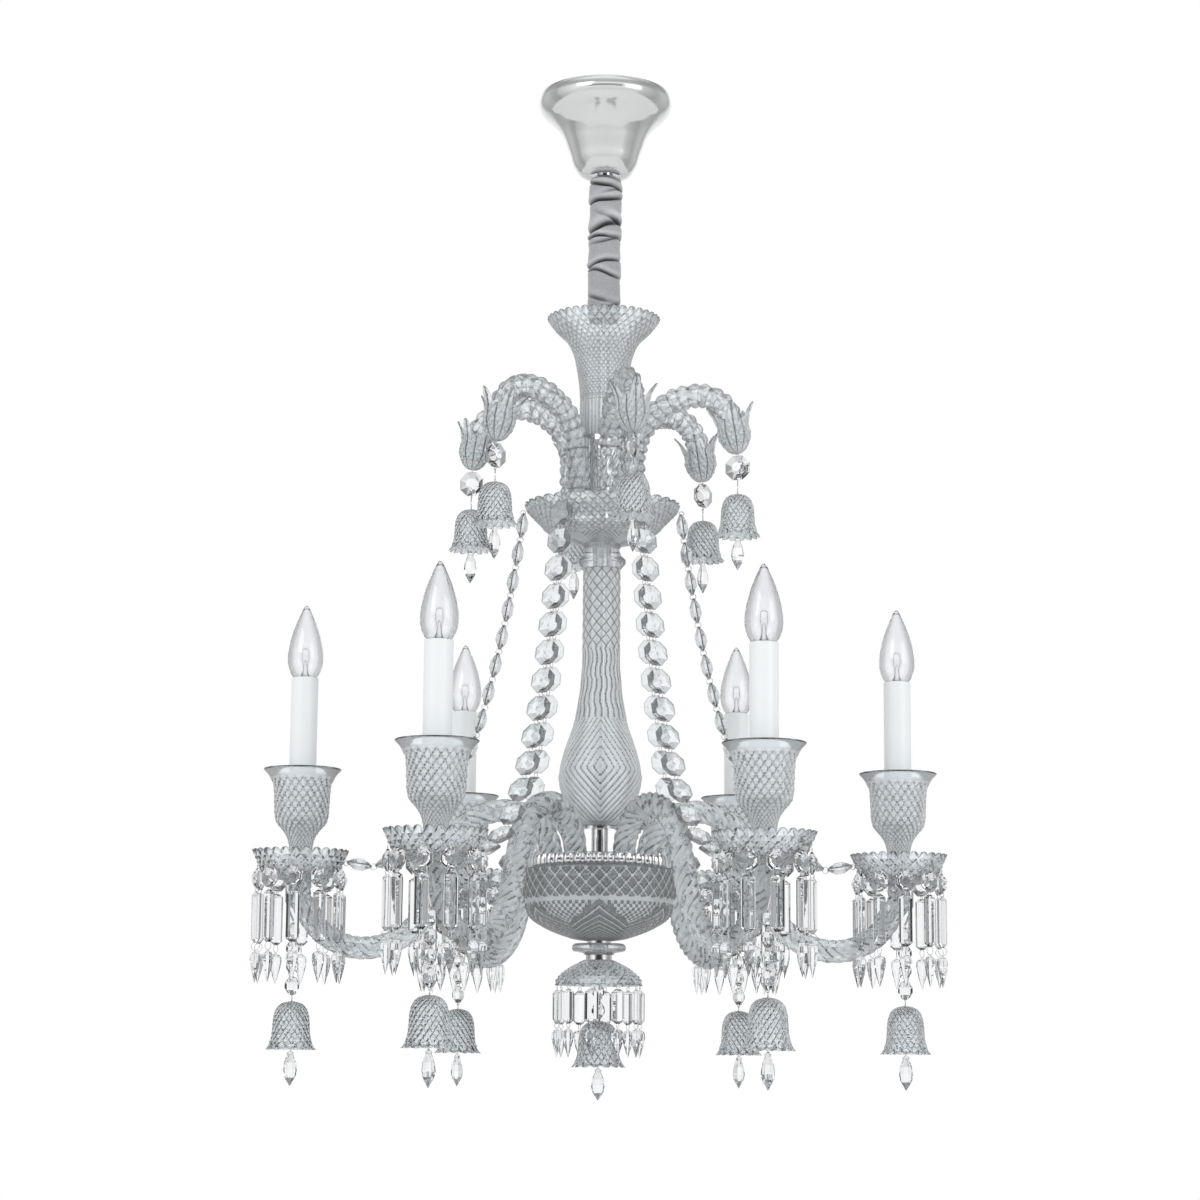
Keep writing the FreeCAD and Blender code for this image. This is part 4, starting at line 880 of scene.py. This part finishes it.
def rope(line, radius, depth, twist, pitch=0.0, bore=0.0, dash=0.5, strands=7, cols=49):
    """A glass rod along an (x, z) line whose section has round strands with sharp valleys between them.

    The section's radius follows a power of a cosine with a lobe for each strand. The lobes turn once round
    in twist millimetres; with a pitch they are also notched into beads. Its cut values are painted shade,
    darker in the valleys between the strands, and each strand is painted in short light and dark dashes,
    painted glints, by a hash of its number and of the length along."""
    run = directions(line)
    along = run_length(line)
    phi = np.arange(cols) / cols * TAU
    wound = strands * phi[None, :] + TAU * strands * along[:, None] / twist
    high = np.abs(np.cos(wound / 2)) ** 0.8
    if pitch:
        high = high * (np.abs(np.cos(math.pi * along / pitch)) ** 0.7)[:, None]
    side = np.stack([-run[:, 1], np.zeros(len(run)), run[:, 0]], 1)[:, None, :]
    centre = np.stack([line[:, 0], np.zeros(len(line)), line[:, 1]], 1)[:, None, :]

    def rings(size):
        along_side = (size * np.cos(phi))[:, :, None] * side
        return centre + along_side + (size * np.sin(phi))[:, :, None] * [0.0, 1.0, 0.0]
    grid = rings(radius - depth * (1 - high))
    if bore:
        hole = rings(np.full_like(high, bore))
        points, tris = lattice(np.concatenate([grid, hole[::-1]]), closed_rows=True)
    else:
        points, tris = lattice(grid, cap_first=True, cap_last=True)
    # painted shade in the valleys between strands and painted glint dashes along them
    level = np.clip((high + np.roll(high, -1, 1)) * 0.72, 0, 1)[:-1]
    strand = np.mod(np.floor(wound / TAU + 0.5)[:-1], strands)
    block = np.floor(along[:-1, None] / 4.2 + 0.37 * strand)
    chance = hashed(strand * 78.233 + block * 12.9898)
    shade = np.repeat(np.clip(0.13 + 0.60 * level + 0.72 * dash * chance, 0, 1).ravel(), 2)
    cuts = np.full(len(tris), 0.5)
    cuts[:len(shade)] = shade
    return Mesh(points, tris[:, ::-1], True, cuts)


def arm_steps():
    """Runs and bends of a lower arm; the lengths of its two free runs bring it to its end."""
    fall, climb = math.radians(FALL_ANGLE), math.radians(CLIMB_ANGLE)
    over = OVER_BEND + LOW_BEND
    bends_out = RISE_BEND + over * math.sin(fall) + CLIMB_BEND * math.sin(climb)
    bends_out += END_BEND * (1 - math.sin(climb))
    bends_up = RISE_BEND - over * (1 - math.cos(fall)) + CLIMB_BEND * (1 - math.cos(climb))
    bends_up += END_BEND * math.cos(climb)
    wide = REACH - ARM_FOOT - bends_out
    rise = ARM_END - END_RUN - PLATE_TOP - bends_up
    meet = math.sin(fall + climb)
    down = (wide * math.sin(climb) - rise * math.cos(climb)) / meet
    out = (rise * math.cos(fall) + wide * math.sin(fall)) / meet
    return [(ARM_SOCKET, None), (RISE_BEND, -90), (OVER_BEND, -FALL_ANGLE), (down, None),
            (LOW_BEND, FALL_ANGLE), (CLIMB_BEND, CLIMB_ANGLE), (out, None), (END_BEND, 90 - CLIMB_ANGLE),
            (END_RUN, None)]


def make_lower_arms():
    """Six curved glass rods, twisted like rope."""
    line = track(ARM_FOOT, PLATE_TOP - ARM_SOCKET, 90, arm_steps(), 1.65)
    one = rope(line, 11.2, depth=2.9, twist=68.0, bore=ARM_BORE, dash=1.0)
    for part, angles in (("a", SIX[:3]), ("b", SIX[3:])):
        show(Mesh().copies(one, angles), "arms_low_" + part, TWIST, "frame", "crystal", "lower_arms")


def upper_line():
    """Middle line of an upper arm: up from the hub, over, and down, leaning a little outwards at its tip."""
    steps = [(UPPER_RISE, None), (UPPER_OVER, -90), (UPPER_TIP_BEND, -UPPER_TIP_ANGLE), (UPPER_TIP_RUN, None)]
    return track(UPPER_FOOT, UPPER_FOOT_Z, 90, steps, 1.35)


def make_upper_arms():
    """Six curled glass rods with beaded ridges."""
    one = rope(upper_line(), 12.6, depth=3.4, twist=190.0, pitch=10.4)
    show(Mesh().copies(one, SIX_UP), "arms_high", ROD, "frame", "crystal", "upper_arms")


def tulip():
    """Flower cup cut in long veins, its rim drawn up into five thorn-like petals that curl outwards.

    A petal is a power of a cosine five times round; it lifts the rim and bends it out with a power of its
    height."""
    outer = [(1.2, -10), (5.6, -9.2), (9.8, -6.0), (13.8, 0), (16.2, 6), (16.6, 11), (15.8, 16), (15.4, 20),
             (15.6, 23)]
    inner = [(13.4, 22.6), (13.2, 18), (13.1, 14), (12.9, 8), (12.8, -0.6)]
    cup = vessel(outer, inner, 120, veined, depth=0.3, aspect=1.3, tone=painted_groove_shading(0.41, 0.20), period=8,
                 inner_rows=8)
    points, tris, flags, cuts = cup.arrays()
    theta = np.arctan2(points[:, 1], points[:, 0])
    radius = np.hypot(points[:, 0], points[:, 1])
    near = 0.5 + 0.5 * np.cos(5 * theta)
    t = np.clip((points[:, 2] - 12) / 11, 0, 1)
    petal = near ** (0.9 + 1.1 * t)
    radius = radius + petal * 9.5 * t ** 2.2 - 0.4 * t * (1 - near)
    height = points[:, 2] + 14.5 * petal * t ** 1.3
    return Mesh(np.stack([radius * np.cos(theta), radius * np.sin(theta), height], 1), tris, flags, cuts)


def make_tulips():
    """Six tulips, one on each upper arm's end, upright but for the end's own lean."""
    x, z = upper_line()[-1]
    a = math.radians(UPPER_TIP_ANGLE - 90)
    lean = [[math.cos(a), 0, math.sin(a)], [0, 1, 0], [-math.sin(a), 0, math.cos(a)]]
    one = moved(tulip(), (x, 0, z), tilt=lean)
    show(Mesh().copies(one, SIX_UP), "tulips", CUT, "frame", "crystal", "upper_tulips")


def tulip_tip():
    """Where the foot of a tulip ends, in the XZ plane of its arm."""
    x, z = upper_line()[-1]
    a = math.radians(90 - UPPER_TIP_ANGLE)
    return x + math.sin(a) * TULIP_DOWN, z - math.cos(a) * TULIP_DOWN


# ---------------------------------------------------------------- lamps

def make_cups():
    """Six urns with ribs on the foot, a net above and a plain flared lip."""
    outer = [(18, 0), (15.4, 4.5), (14, 9), (11.8, 18), (11.2, 26), (13.4, 37), (18.5, 45), (24.4, 52),
             (26.6, 60), (27, 68), (28, 86), (29.6, 92), (32.6, 98), (35.6, 101.6), (37.4, 103.4)]
    inner = [(37.0, 104.9), (34.4, 103.4), (31.2, 99.8), (28.0, 93.6), (26.0, 86), (24.6, 78), (23.8, 66),
             (22.0, 58), (16, 53)]

    def pattern(a, b):
        return np.where(b < b.max() * 0.30, flutes(a, b), netted(a, b, 4))
    one = vessel(raised(outer, CUP_LOW), raised(inner, CUP_LOW), 88, pattern, depth=0.2, aspect=1.3,
                 tone=painted_groove_shading(0.5, 0.31), bore=CUP_BORE, plain_from=CUP_LOW + 95.5, inner_rows=16)
    show(Mesh().copies(one, SIX, (REACH, 0, 0)), "cups", CLEAR, "frame", "crystal", "candle_cups")


def make_pans():
    """Six scalloped drip pans cut in diamonds, one under each urn."""
    outer = [(16, 0), (22, 0.8), (28, 2), (36.5, 6), (40.5, 13), (43.5, 20), (46.4, 26.6)]
    inner = [(43.4, 27), (40.6, 21), (37.4, 14), (34.4, 9.2), (27, 5.2), (20, 3.5)]
    one = vessel(raised(outer, ARM_END), raised(inner, ARM_END), 112, diamonds, depth=0.22, aspect=1.1,
                 tone=painted_sparkle(0.13), bore=CUP_BORE, scallops=(28, 1.1, 1.7, 7.0), inner_rows=8)
    show(Mesh().copies(one, SIX, (REACH, 0, 0)), "pans", CUT, "frame", "crystal", "bobeches")


def make_bulb(k):
    """Clear candle bulb: a thin pointed envelope, its stem, filament and screw cap."""
    neck = CANDLE_TOP + 0.3
    profile = [(7.0, -2), (11.2, 0), (14.8, 6), (17.0, 13), (17.5, 20), (16.8, 28), (14.6, 39), (11.2, 50),
               (7.2, 60), (3.2, BULB_TALL - 3.4), (1.0, BULB_TALL - 0.4)]
    outer = smooth_line(raised(profile, neck), 44)
    inner = (outer - outward(outer) * 0.7)[:-2]
    envelope = turned(outer, 40)
    points, tris, flags, cuts = turned(inner, 40).arrays()
    envelope.add(points, tris[:, ::-1], flags, cuts)
    stem = turned(raised([(0.2, 2), (4.2, 2), (2.6, 7), (1.5, 12), (1.3, 17), (0.2, 18)], neck), 16)
    wires = Mesh()
    for side in (-1, 1):
        leg = [(side * 1.4, 0, 4), (side * 2.2, 0, 14), (side * 3.4, 0, 20), (side * 3.0, 0, 26)]
        wires.copies(tube(smooth_line(leg, 12), 0.28, 6), shift=(0, 0, neck))
    t = np.linspace(0, 1, 90)
    rise = 26 + 3.0 * np.sin(math.pi * t) + 0.5 * np.cos(t * 60)
    coil = np.stack([3.2 * np.cos(math.pi * t), 0.7 * np.sin(t * 60), rise], 1)
    wires.copies(tube(coil, 0.2, 5), shift=(0, 0, neck))
    thread = rounded([(0.5, -26), (5.6, -26), (6.9, -22), (6.9, -2.1), (0.5, -2.1)], 0.4)
    cap = turned(raised(thread, neck), 24)
    body = "bulb_%d" % (k + 1)
    place = turn_z(np.array([[REACH, 0, 0]]), SIX[k])[0]
    show(moved(envelope, place), "bulb_glass_%d" % (k + 1), BULB, body, "bulb_glass", body)
    show(moved(stem, place), "bulb_stem_%d" % (k + 1), BULB, body, "bulb_glass")
    show(moved(wires, place), "bulb_wires_%d" % (k + 1), DARK, body, "chrome")
    show(moved(cap, place), "bulb_cap_%d" % (k + 1), BRASS, body, "brass_thread")


# ---------------------------------------------------------------- hanging crystal

def prism(width, tall, thick):
    """A long prism: a table, two bevels and narrow sides all the way down, shoulders cut at both ends."""
    corner = np.array([(1.0, 0.3), (0.42, 1.0), (-0.42, 1.0), (-1.0, 0.3),
                       (-1.0, -0.3), (-0.42, -1.0), (0.42, -1.0), (1.0, -0.3)]) * [width / 2, thick / 2]
    rings = [np.column_stack([corner * (size, deep), np.full(8, z)])
             for z, size, deep in ((-tall, 0.34, 0.3), (-tall + 3.4, 1.0, 0.85), (-tall + 4.4, 1.0, 1.0),
                                   (-4.0, 1.0, 1.0), (-3.0, 1.0, 0.85), (-0.4, 0.4, 0.35))]
    return Mesh(*lattice(np.array(rings), cap_first=True, cap_last=True))


def strand(bead, prism_tall, spear_tall, gap):
    """Crystal and wire of one hanging strand in the XZ plane, hung at z = 0; the bead may be left out."""
    stones = Mesh()
    wires = Mesh()
    ring = hoop(1.7, 0.35)
    z = -gap
    wires.copies(ring, shift=(0, 0, z / 2 - 0.2))
    if bead:
        stones.copies(octagon(bead, bead * 0.46), shift=(0, 0, z - bead / 2))
        z -= bead
        wires.copies(ring, [90.0], (0, 0, z - 0.7))
        z -= 1.4
    stones.copies(prism(12.5, prism_tall, 8.5), shift=(0, 0, z))
    z -= prism_tall
    drop = 8.0 if bead else 4.5
    wires.copies(hoop(drop / 2, 0.35), [90.0], (0, 0, z - drop / 2 + 0.6))
    z -= drop
    rows = [(z, 1.0), (z - 1.6, 4.2), (z - 4.0, 5.9), (z - 8.5, 6.2), (z - spear_tall * 0.58, 4.2),
            (z - spear_tall, 0.25)]
    stones.copies(gem(rows, 0.85))
    return stones, wires


def make_strands():
    """Ten strands round each drip pan, and ten round the bottom dome, all facing outwards."""
    gap = PAN_STRAND_SPAN / (PAN_STRANDS - 1)
    angles = [180 + 22 + gap * k for k in range(PAN_STRANDS)]
    stones, wires = (Mesh().copies(moved(part, turn=90.0), angles, (PAN_STRAND_REACH, 0, 0))
                     for part in strand(21.0, 50.0, 30.0, 3.5))
    pan = (REACH, 0, ARM_END + 15.0)
    show(Mesh().copies(stones, SIX, pan), "pan_strands", BEAD, "frame", "crystal", "bobeche_strands")
    show(Mesh().copies(wires, SIX, pan), "pan_strand_rings", CHROME, "frame", "chrome")
    angles = [9 + 360.0 / DOME_STRANDS * k for k in range(DOME_STRANDS)]
    stones, wires = (Mesh().copies(moved(part, turn=90.0), angles, (DOME_STRAND_REACH, 0, DOME_LOW))
                     for part in strand(0, 33.0, 27.0, 4.0))
    show(stones, "dome_drops", BEAD, "frame", "crystal", "dome_strands")
    show(wires, "dome_drop_rings", CHROME, "frame", "chrome")


def garland_line():
    """Where the beads of a garland sit: a catenary of set length between its two ends, whose size is found
    by halving."""
    high, low = GARLAND_HIGH, GARLAND_LOW
    width = low[0] - high[0]
    drop = low[1] - high[1]
    length = GARLAND_BEADS * GARLAND_PITCH
    goal = math.sqrt(length ** 2 - drop ** 2)
    small, large = width / 40, width * 40
    for _ in range(80):
        size = (small + large) / 2
        if 2 * size * math.sinh(width / 2 / size) > goal:
            small = size
        else:
            large = size
    middle = (high[0] + low[0]) / 2 - size * math.atanh(drop / length)
    first = size * math.sinh((high[0] - middle) / size)
    base = high[1] - size * math.cosh((high[0] - middle) / size)
    x = middle + size * np.arcsinh((first + GARLAND_PITCH * np.arange(GARLAND_BEADS + 1)) / size)
    return np.stack([x, base + size * np.cosh((x - middle) / size)], 1)


def make_garlands():
    """Octagon beads along each hanging curve, with a wire ring between neighbours and at both ends."""
    line = garland_line()
    stones = Mesh()
    rings = Mesh()
    bead = octagon(26.2, 11.0)
    for a, b in zip(line[:-1], line[1:]):
        run = (b - a) / np.linalg.norm(b - a)
        tilt = [[0, -run[1], run[0]], [1, 0, 0], [0, run[0], run[1]]]
        middle = (a + b) / 2
        stones.copies(moved(bead, tilt=tilt), shift=(middle[0], 0, middle[1]))
    for x, z in line[1:-1]:
        rings.copies(hoop(3.0, 0.45), shift=(x, 0, z))
    for (x, z), inward in ((line[0], 1.3), (line[-1], -1.3)):
        rings.copies(hoop(2.4, 0.45), shift=(x + inward, 0, z - 1.04))
    for k, angle in enumerate(SIX):
        body = "garland_%d" % (k + 1)
        show(moved(stones, turn=angle), "garland_beads_%d" % (k + 1), PALE, body, "crystal", body)
        show(moved(rings, turn=angle), "garland_rings_%d" % (k + 1), CHROME, body, "chrome")


def bell(waist, rim, tall):
    """A hollow bell cut in a net of flat-topped cells, with a scalloped, flared rim; crown at z = 0.

    The lobes of the rim follow a power of a cosine, fifteen of them round."""
    outer = [(rim, -tall), (rim - 2.6, -tall * 0.93), (waist * 1.13, -tall * 0.83),
             (waist * 1.04, -tall * 0.7), (waist, -tall * 0.5), (waist * 0.96, -tall * 0.32),
             (waist * 0.82, -tall * 0.15), (waist * 0.55, -tall * 0.045), (3.0, 0)]
    inner = [(3.0, -4.6), (waist * 0.5, -tall * 0.15), (waist * 0.86 - 1.2, -tall * 0.27),
             (waist - 2.3, -tall * 0.45), (waist * 1.02 - 2.3, -tall * 0.68),
             (waist * 1.12 - 2.1, -tall * 0.83), (rim - 3.4, -tall * 0.955), (rim - 1.2, -tall + 0.6)]
    cols = 120
    line = cut_line(outer, cols, 1.45, 6)
    n = len(line)
    a, b = np.meshgrid(np.arange(cols), np.arange(n))
    high = np.where(line[:, 1:] > -tall * 0.9, netted(a, b), wave(a + 4, 8))
    r, z = cut_wall(line, high, 0.16, 6)
    tail_r, tail_z = spread(np.vstack([(0, 0), (0, -4.4), smooth_line(inner, 14)]), cols)
    r = np.vstack([r, tail_r])
    z = np.vstack([z, tail_z])
    high = np.vstack([high, np.ones(tail_r.shape)])
    weight = np.clip((-z - tall * 0.84) / (tall * 0.16), 0, 1) ** 1.5
    lobe = np.abs(np.cos(np.arange(cols) / cols * TAU * 7.5)) ** 0.8 * 2 - 1
    r = r + weight * (1.1 * lobe - 1.0)
    z = z - weight * (1.2 * lobe - 1.2)
    points, tris = lattice(wheel(r, z), high, closed_rows=True)
    flags = np.zeros(len(tris), bool)
    flags[2 * cols * (n + 2):2 * cols * (n + 14)] = True
    return Mesh(points, tris, flags, painted_facet_shades(high, painted_sparkle(), True))


def hanging_bell(beads, waist, rim, tall, drop_wide, drop_tall, hang):
    """Crystal, bell and wire of one bell under its beads, with a drop as clapper, hung at z = 0."""
    stones = Mesh()
    wires = Mesh()
    z = 0.0
    wires.copies(hoop(1.3, 0.35), shift=(0, 0, -1.6))
    for width, length, flatness in beads:
        if flatness < 0.5:
            stones.copies(octagon(width, 11.0), shift=(0, 0, z - length / 2))
        else:
            half = width / 2
            rows = [(z - 1.2, 1.2), (z - 2.4, half * 0.62), (z - length * 0.4, half),
                    (z - length * 0.62, half), (z - length + 1.4, half * 0.42), (z - length + 0.8, 0.9)]
            stones.copies(gem(rows, flatness))
        z -= length
        wires.copies(hoop(1.3, 0.35), [90.0], (0, 0, z))
    wires.copies(tube([(0, 0, z), (0, 0, (z - hang) / 2), (0, 0, -hang - 0.5)], 0.6, 6))
    cup = moved(bell(waist, rim, tall), (0, 0, -hang))
    top = -hang - tall - 1.0
    wires.copies(tube([(0, 0, -hang - 4.6), (0, 0, -hang - tall / 2), (0, 0, top)], 0.6, 6))
    half = drop_wide / 2
    rows = [(top, 1.4), (top - 2.2, half * 0.5), (top - 3.6, half * 0.42),
            (top - drop_tall * 0.34, half * 0.86), (top - drop_tall * 0.55, half),
            (top - drop_tall * 0.72, half * 0.84), (top - drop_tall, 0.3)]
    stones.copies(gem(rows, 0.86))
    return stones, cup, wires


def make_bells():
    """The thirteen bells on their beads: six below the drip pans, six below the tulips, one in the middle."""
    beads = [(13, 17, 0.8), (14, 17, 0.8), (13, 17, 0.8), (15, 20, 0.8)]
    low_bell = hanging_bell(beads, 18.0, 24.6, 46.0, 14.5, 33.0, 76.0)
    high_bell = hanging_bell([(26, 27, 0.42)], 16.4, 22.4, 42.0, 13.0, 32.0, 40.0)
    centre_bell = hanging_bell([(12, 17, 0.8), (13, 18, 0.8)], 19.4, 26.4, 44.0, 14.5, 30.0, 36.0)
    x, z = tulip_tip()
    sets = [("lower_bell_%d" % (k + 1), low_bell, REACH + 5.0, ARM_END - 40.0, SIX[k]) for k in range(6)]
    sets += [("upper_bell_%d" % (k + 1), high_bell, x, z - 0.7, SIX_UP[k]) for k in range(6)]
    sets.append(("centre_bell", centre_bell, 0.0, CENTRE_BELL_TOP, 0.0))
    for body, (stones, cup, wires), x, z, angle in sets:
        for shape, name, look, slot in ((cup, "_cup", CUT, "crystal"), (stones, "_beads", BEAD, "crystal"),
                                        (wires, "_wires", CHROME, "chrome")):
            one = Mesh().copies(shape, [angle], (x, 0, z))
            show(one, body + name, look, body, slot, *([body] if shape is cup else []))


make_canopy()
make_sleeve()
make_vase()
make_dish()
make_neck()
make_baluster()
make_plate()
make_bowl()
make_spool()
make_dome()
make_lower_arms()
make_upper_arms()
make_tulips()
make_cups()
make_pans()
for number in range(6):
    make_bulb(number)
make_strands()
make_garlands()
make_bells()


# ---------------------------------------------------------------- stage, light and camera

def pale_floor():
    """Pale matt ground that, for the camera, turns into the white backdrop away from the middle."""
    material = plain("floor_pale", (0.82, 0.82, 0.82), 0.9)
    tree = material.node_tree
    matt = tree.nodes["Principled BSDF"].outputs[0]
    place = add_node(tree, "TexCoord").outputs["Object"]
    level = add_node(tree, "VectorMath", {0: place, 1: (1.0, 1.0, 0.0)}, operation="MULTIPLY").outputs[0]
    away = add_node(tree, "VectorMath", {0: level}, operation="LENGTH").outputs["Value"]
    fade = add_node(tree, "MapRange", {"Value": away, "From Min": 0.6, "From Max": 2.6}).outputs["Result"]
    white = add_node(tree, "Emission").outputs[0]
    faded = blended(tree, fade, matt, white)
    seen = add_node(tree, "LightPath").outputs["Is Camera Ray"]
    fill(tree, tree.nodes["Material Output"], {"Surface": blended(tree, seen, matt, faded)})
    return material


def make_stage():
    """A pale floor well below the lamp."""
    bpy.ops.mesh.primitive_plane_add(size=1.0)
    floor = bpy.context.object
    floor.name = "floor"
    floor.data.transform(Matrix.Diagonal((7.0, 7.0, 1.0, 1.0)))
    floor.data.transform(Matrix.Translation((0, 0, -2.3)))
    floor.data.materials.append(pale_floor())


def make_world():
    """White for the camera; glass and metal see a white studio with grey and dark panels by direction."""
    world = bpy.data.worlds.new("studio")
    bpy.context.scene.world = world
    world.use_nodes = True
    tree = world.node_tree
    way = add_node(tree, "TexCoord").outputs["Generated"]
    parts = add_node(tree, "SeparateXYZ", {0: way}).outputs
    around = computed(tree, "MULTIPLY_ADD", computed(tree, "ARCTAN2", parts["Y"], parts["X"]), 1 / TAU, 0.5)
    height = computed(tree, "MULTIPLY_ADD", parts["Z"], 0.5, 0.5)
    side = ramp(tree, around, [(0.0, 0.45), (0.06, 0.8), (0.10, 1.0), (0.40, 1.0), (0.45, 0.5),
                               (0.52, 0.22), (0.58, 0.5), (0.64, 0.35), (0.665, 0.95), (0.70, 1.0),
                               (0.80, 1.0), (0.835, 0.95), (0.86, 0.35), (0.92, 0.5), (0.97, 0.22)])
    level = ramp(tree, height, [(0.0, 0.8), (0.3, 0.7), (0.42, 0.9), (0.46, 1.0), (0.68, 1.0), (0.74, 0.6),
                                (0.80, 0.18), (0.86, 0.25), (0.9, 1.0), (1.0, 1.0)])
    panels = multiplied(tree, side, level)
    behind = ramp(tree, around, [(0.0, 1.0), (0.165, 1.0), (0.175, 0.0), (0.325, 0.0), (0.335, 1.0)])
    band = ramp(tree, height, [(0.0, 1.0), (0.45, 1.0), (0.46, 0.0), (0.60, 0.0), (0.61, 1.0)])
    strip = computed(tree, "MULTIPLY_ADD", computed(tree, "MAXIMUM", behind, band), 0.96, 0.04)
    studio = multiplied(tree, panels, strip)
    white = (1.0, 1.0, 1.0, 1)
    path = add_node(tree, "LightPath").outputs
    mirrored = computed(tree, "MAXIMUM", path["Is Glossy Ray"], path["Is Transmission Ray"])
    light = add_node(tree, "Mix", {0: mirrored, 6: white, 7: studio}, data_type="RGBA").outputs[2]
    seen = add_node(tree, "Mix", {0: path["Is Camera Ray"], 6: light, 7: white}, data_type="RGBA").outputs[2]
    fill(tree, tree.nodes["Background"], {"Color": seen, "Strength": 1.0})


def make_lamp(name, place, power, size):
    """A square soft light aimed at the middle of the chandelier."""
    data = bpy.data.lights.new(name, "AREA")
    data.energy = power
    data.size = size
    lamp = bpy.data.objects.new(name, data)
    bpy.context.scene.collection.objects.link(lamp)
    lamp.location = place
    aim = Vector((0, 0, -0.55)) - lamp.location
    lamp.rotation_euler = aim.to_track_quat("-Z", "Y").to_euler()


def make_camera():
    """The photograph's viewing angle: below the middle, looking up by 9.6 degrees."""
    data = bpy.data.cameras.new("camera")
    data.lens = 84.6
    data.sensor_width = 36.0
    data.clip_end = 100
    camera = bpy.data.objects.new("camera", data)
    bpy.context.scene.collection.objects.link(camera)
    pitch = Euler((math.radians(99.6), 0, 0)).to_matrix().to_4x4()
    roll = Matrix.Rotation(math.radians(0.45), 4, "Z")
    camera.matrix_world = Matrix.Translation((-0.0016, -2.738, -0.9824)) @ pitch @ roll
    bpy.context.scene.camera = camera


make_stage()
make_world()
make_lamp("key", (-1.6, -2.2, 0.9), 14.0, 1.4)
make_lamp("fill", (1.8, -1.6, 0.2), 7.0, 1.2)
make_camera()
scene = bpy.context.scene
scene.view_settings.view_transform = "Standard"
scene.cycles.max_bounces = 24
scene.cycles.transmission_bounces = 24
scene.cycles.transparent_max_bounces = 24
scene.cycles.caustics_reflective = False
scene.cycles.caustics_refractive = False
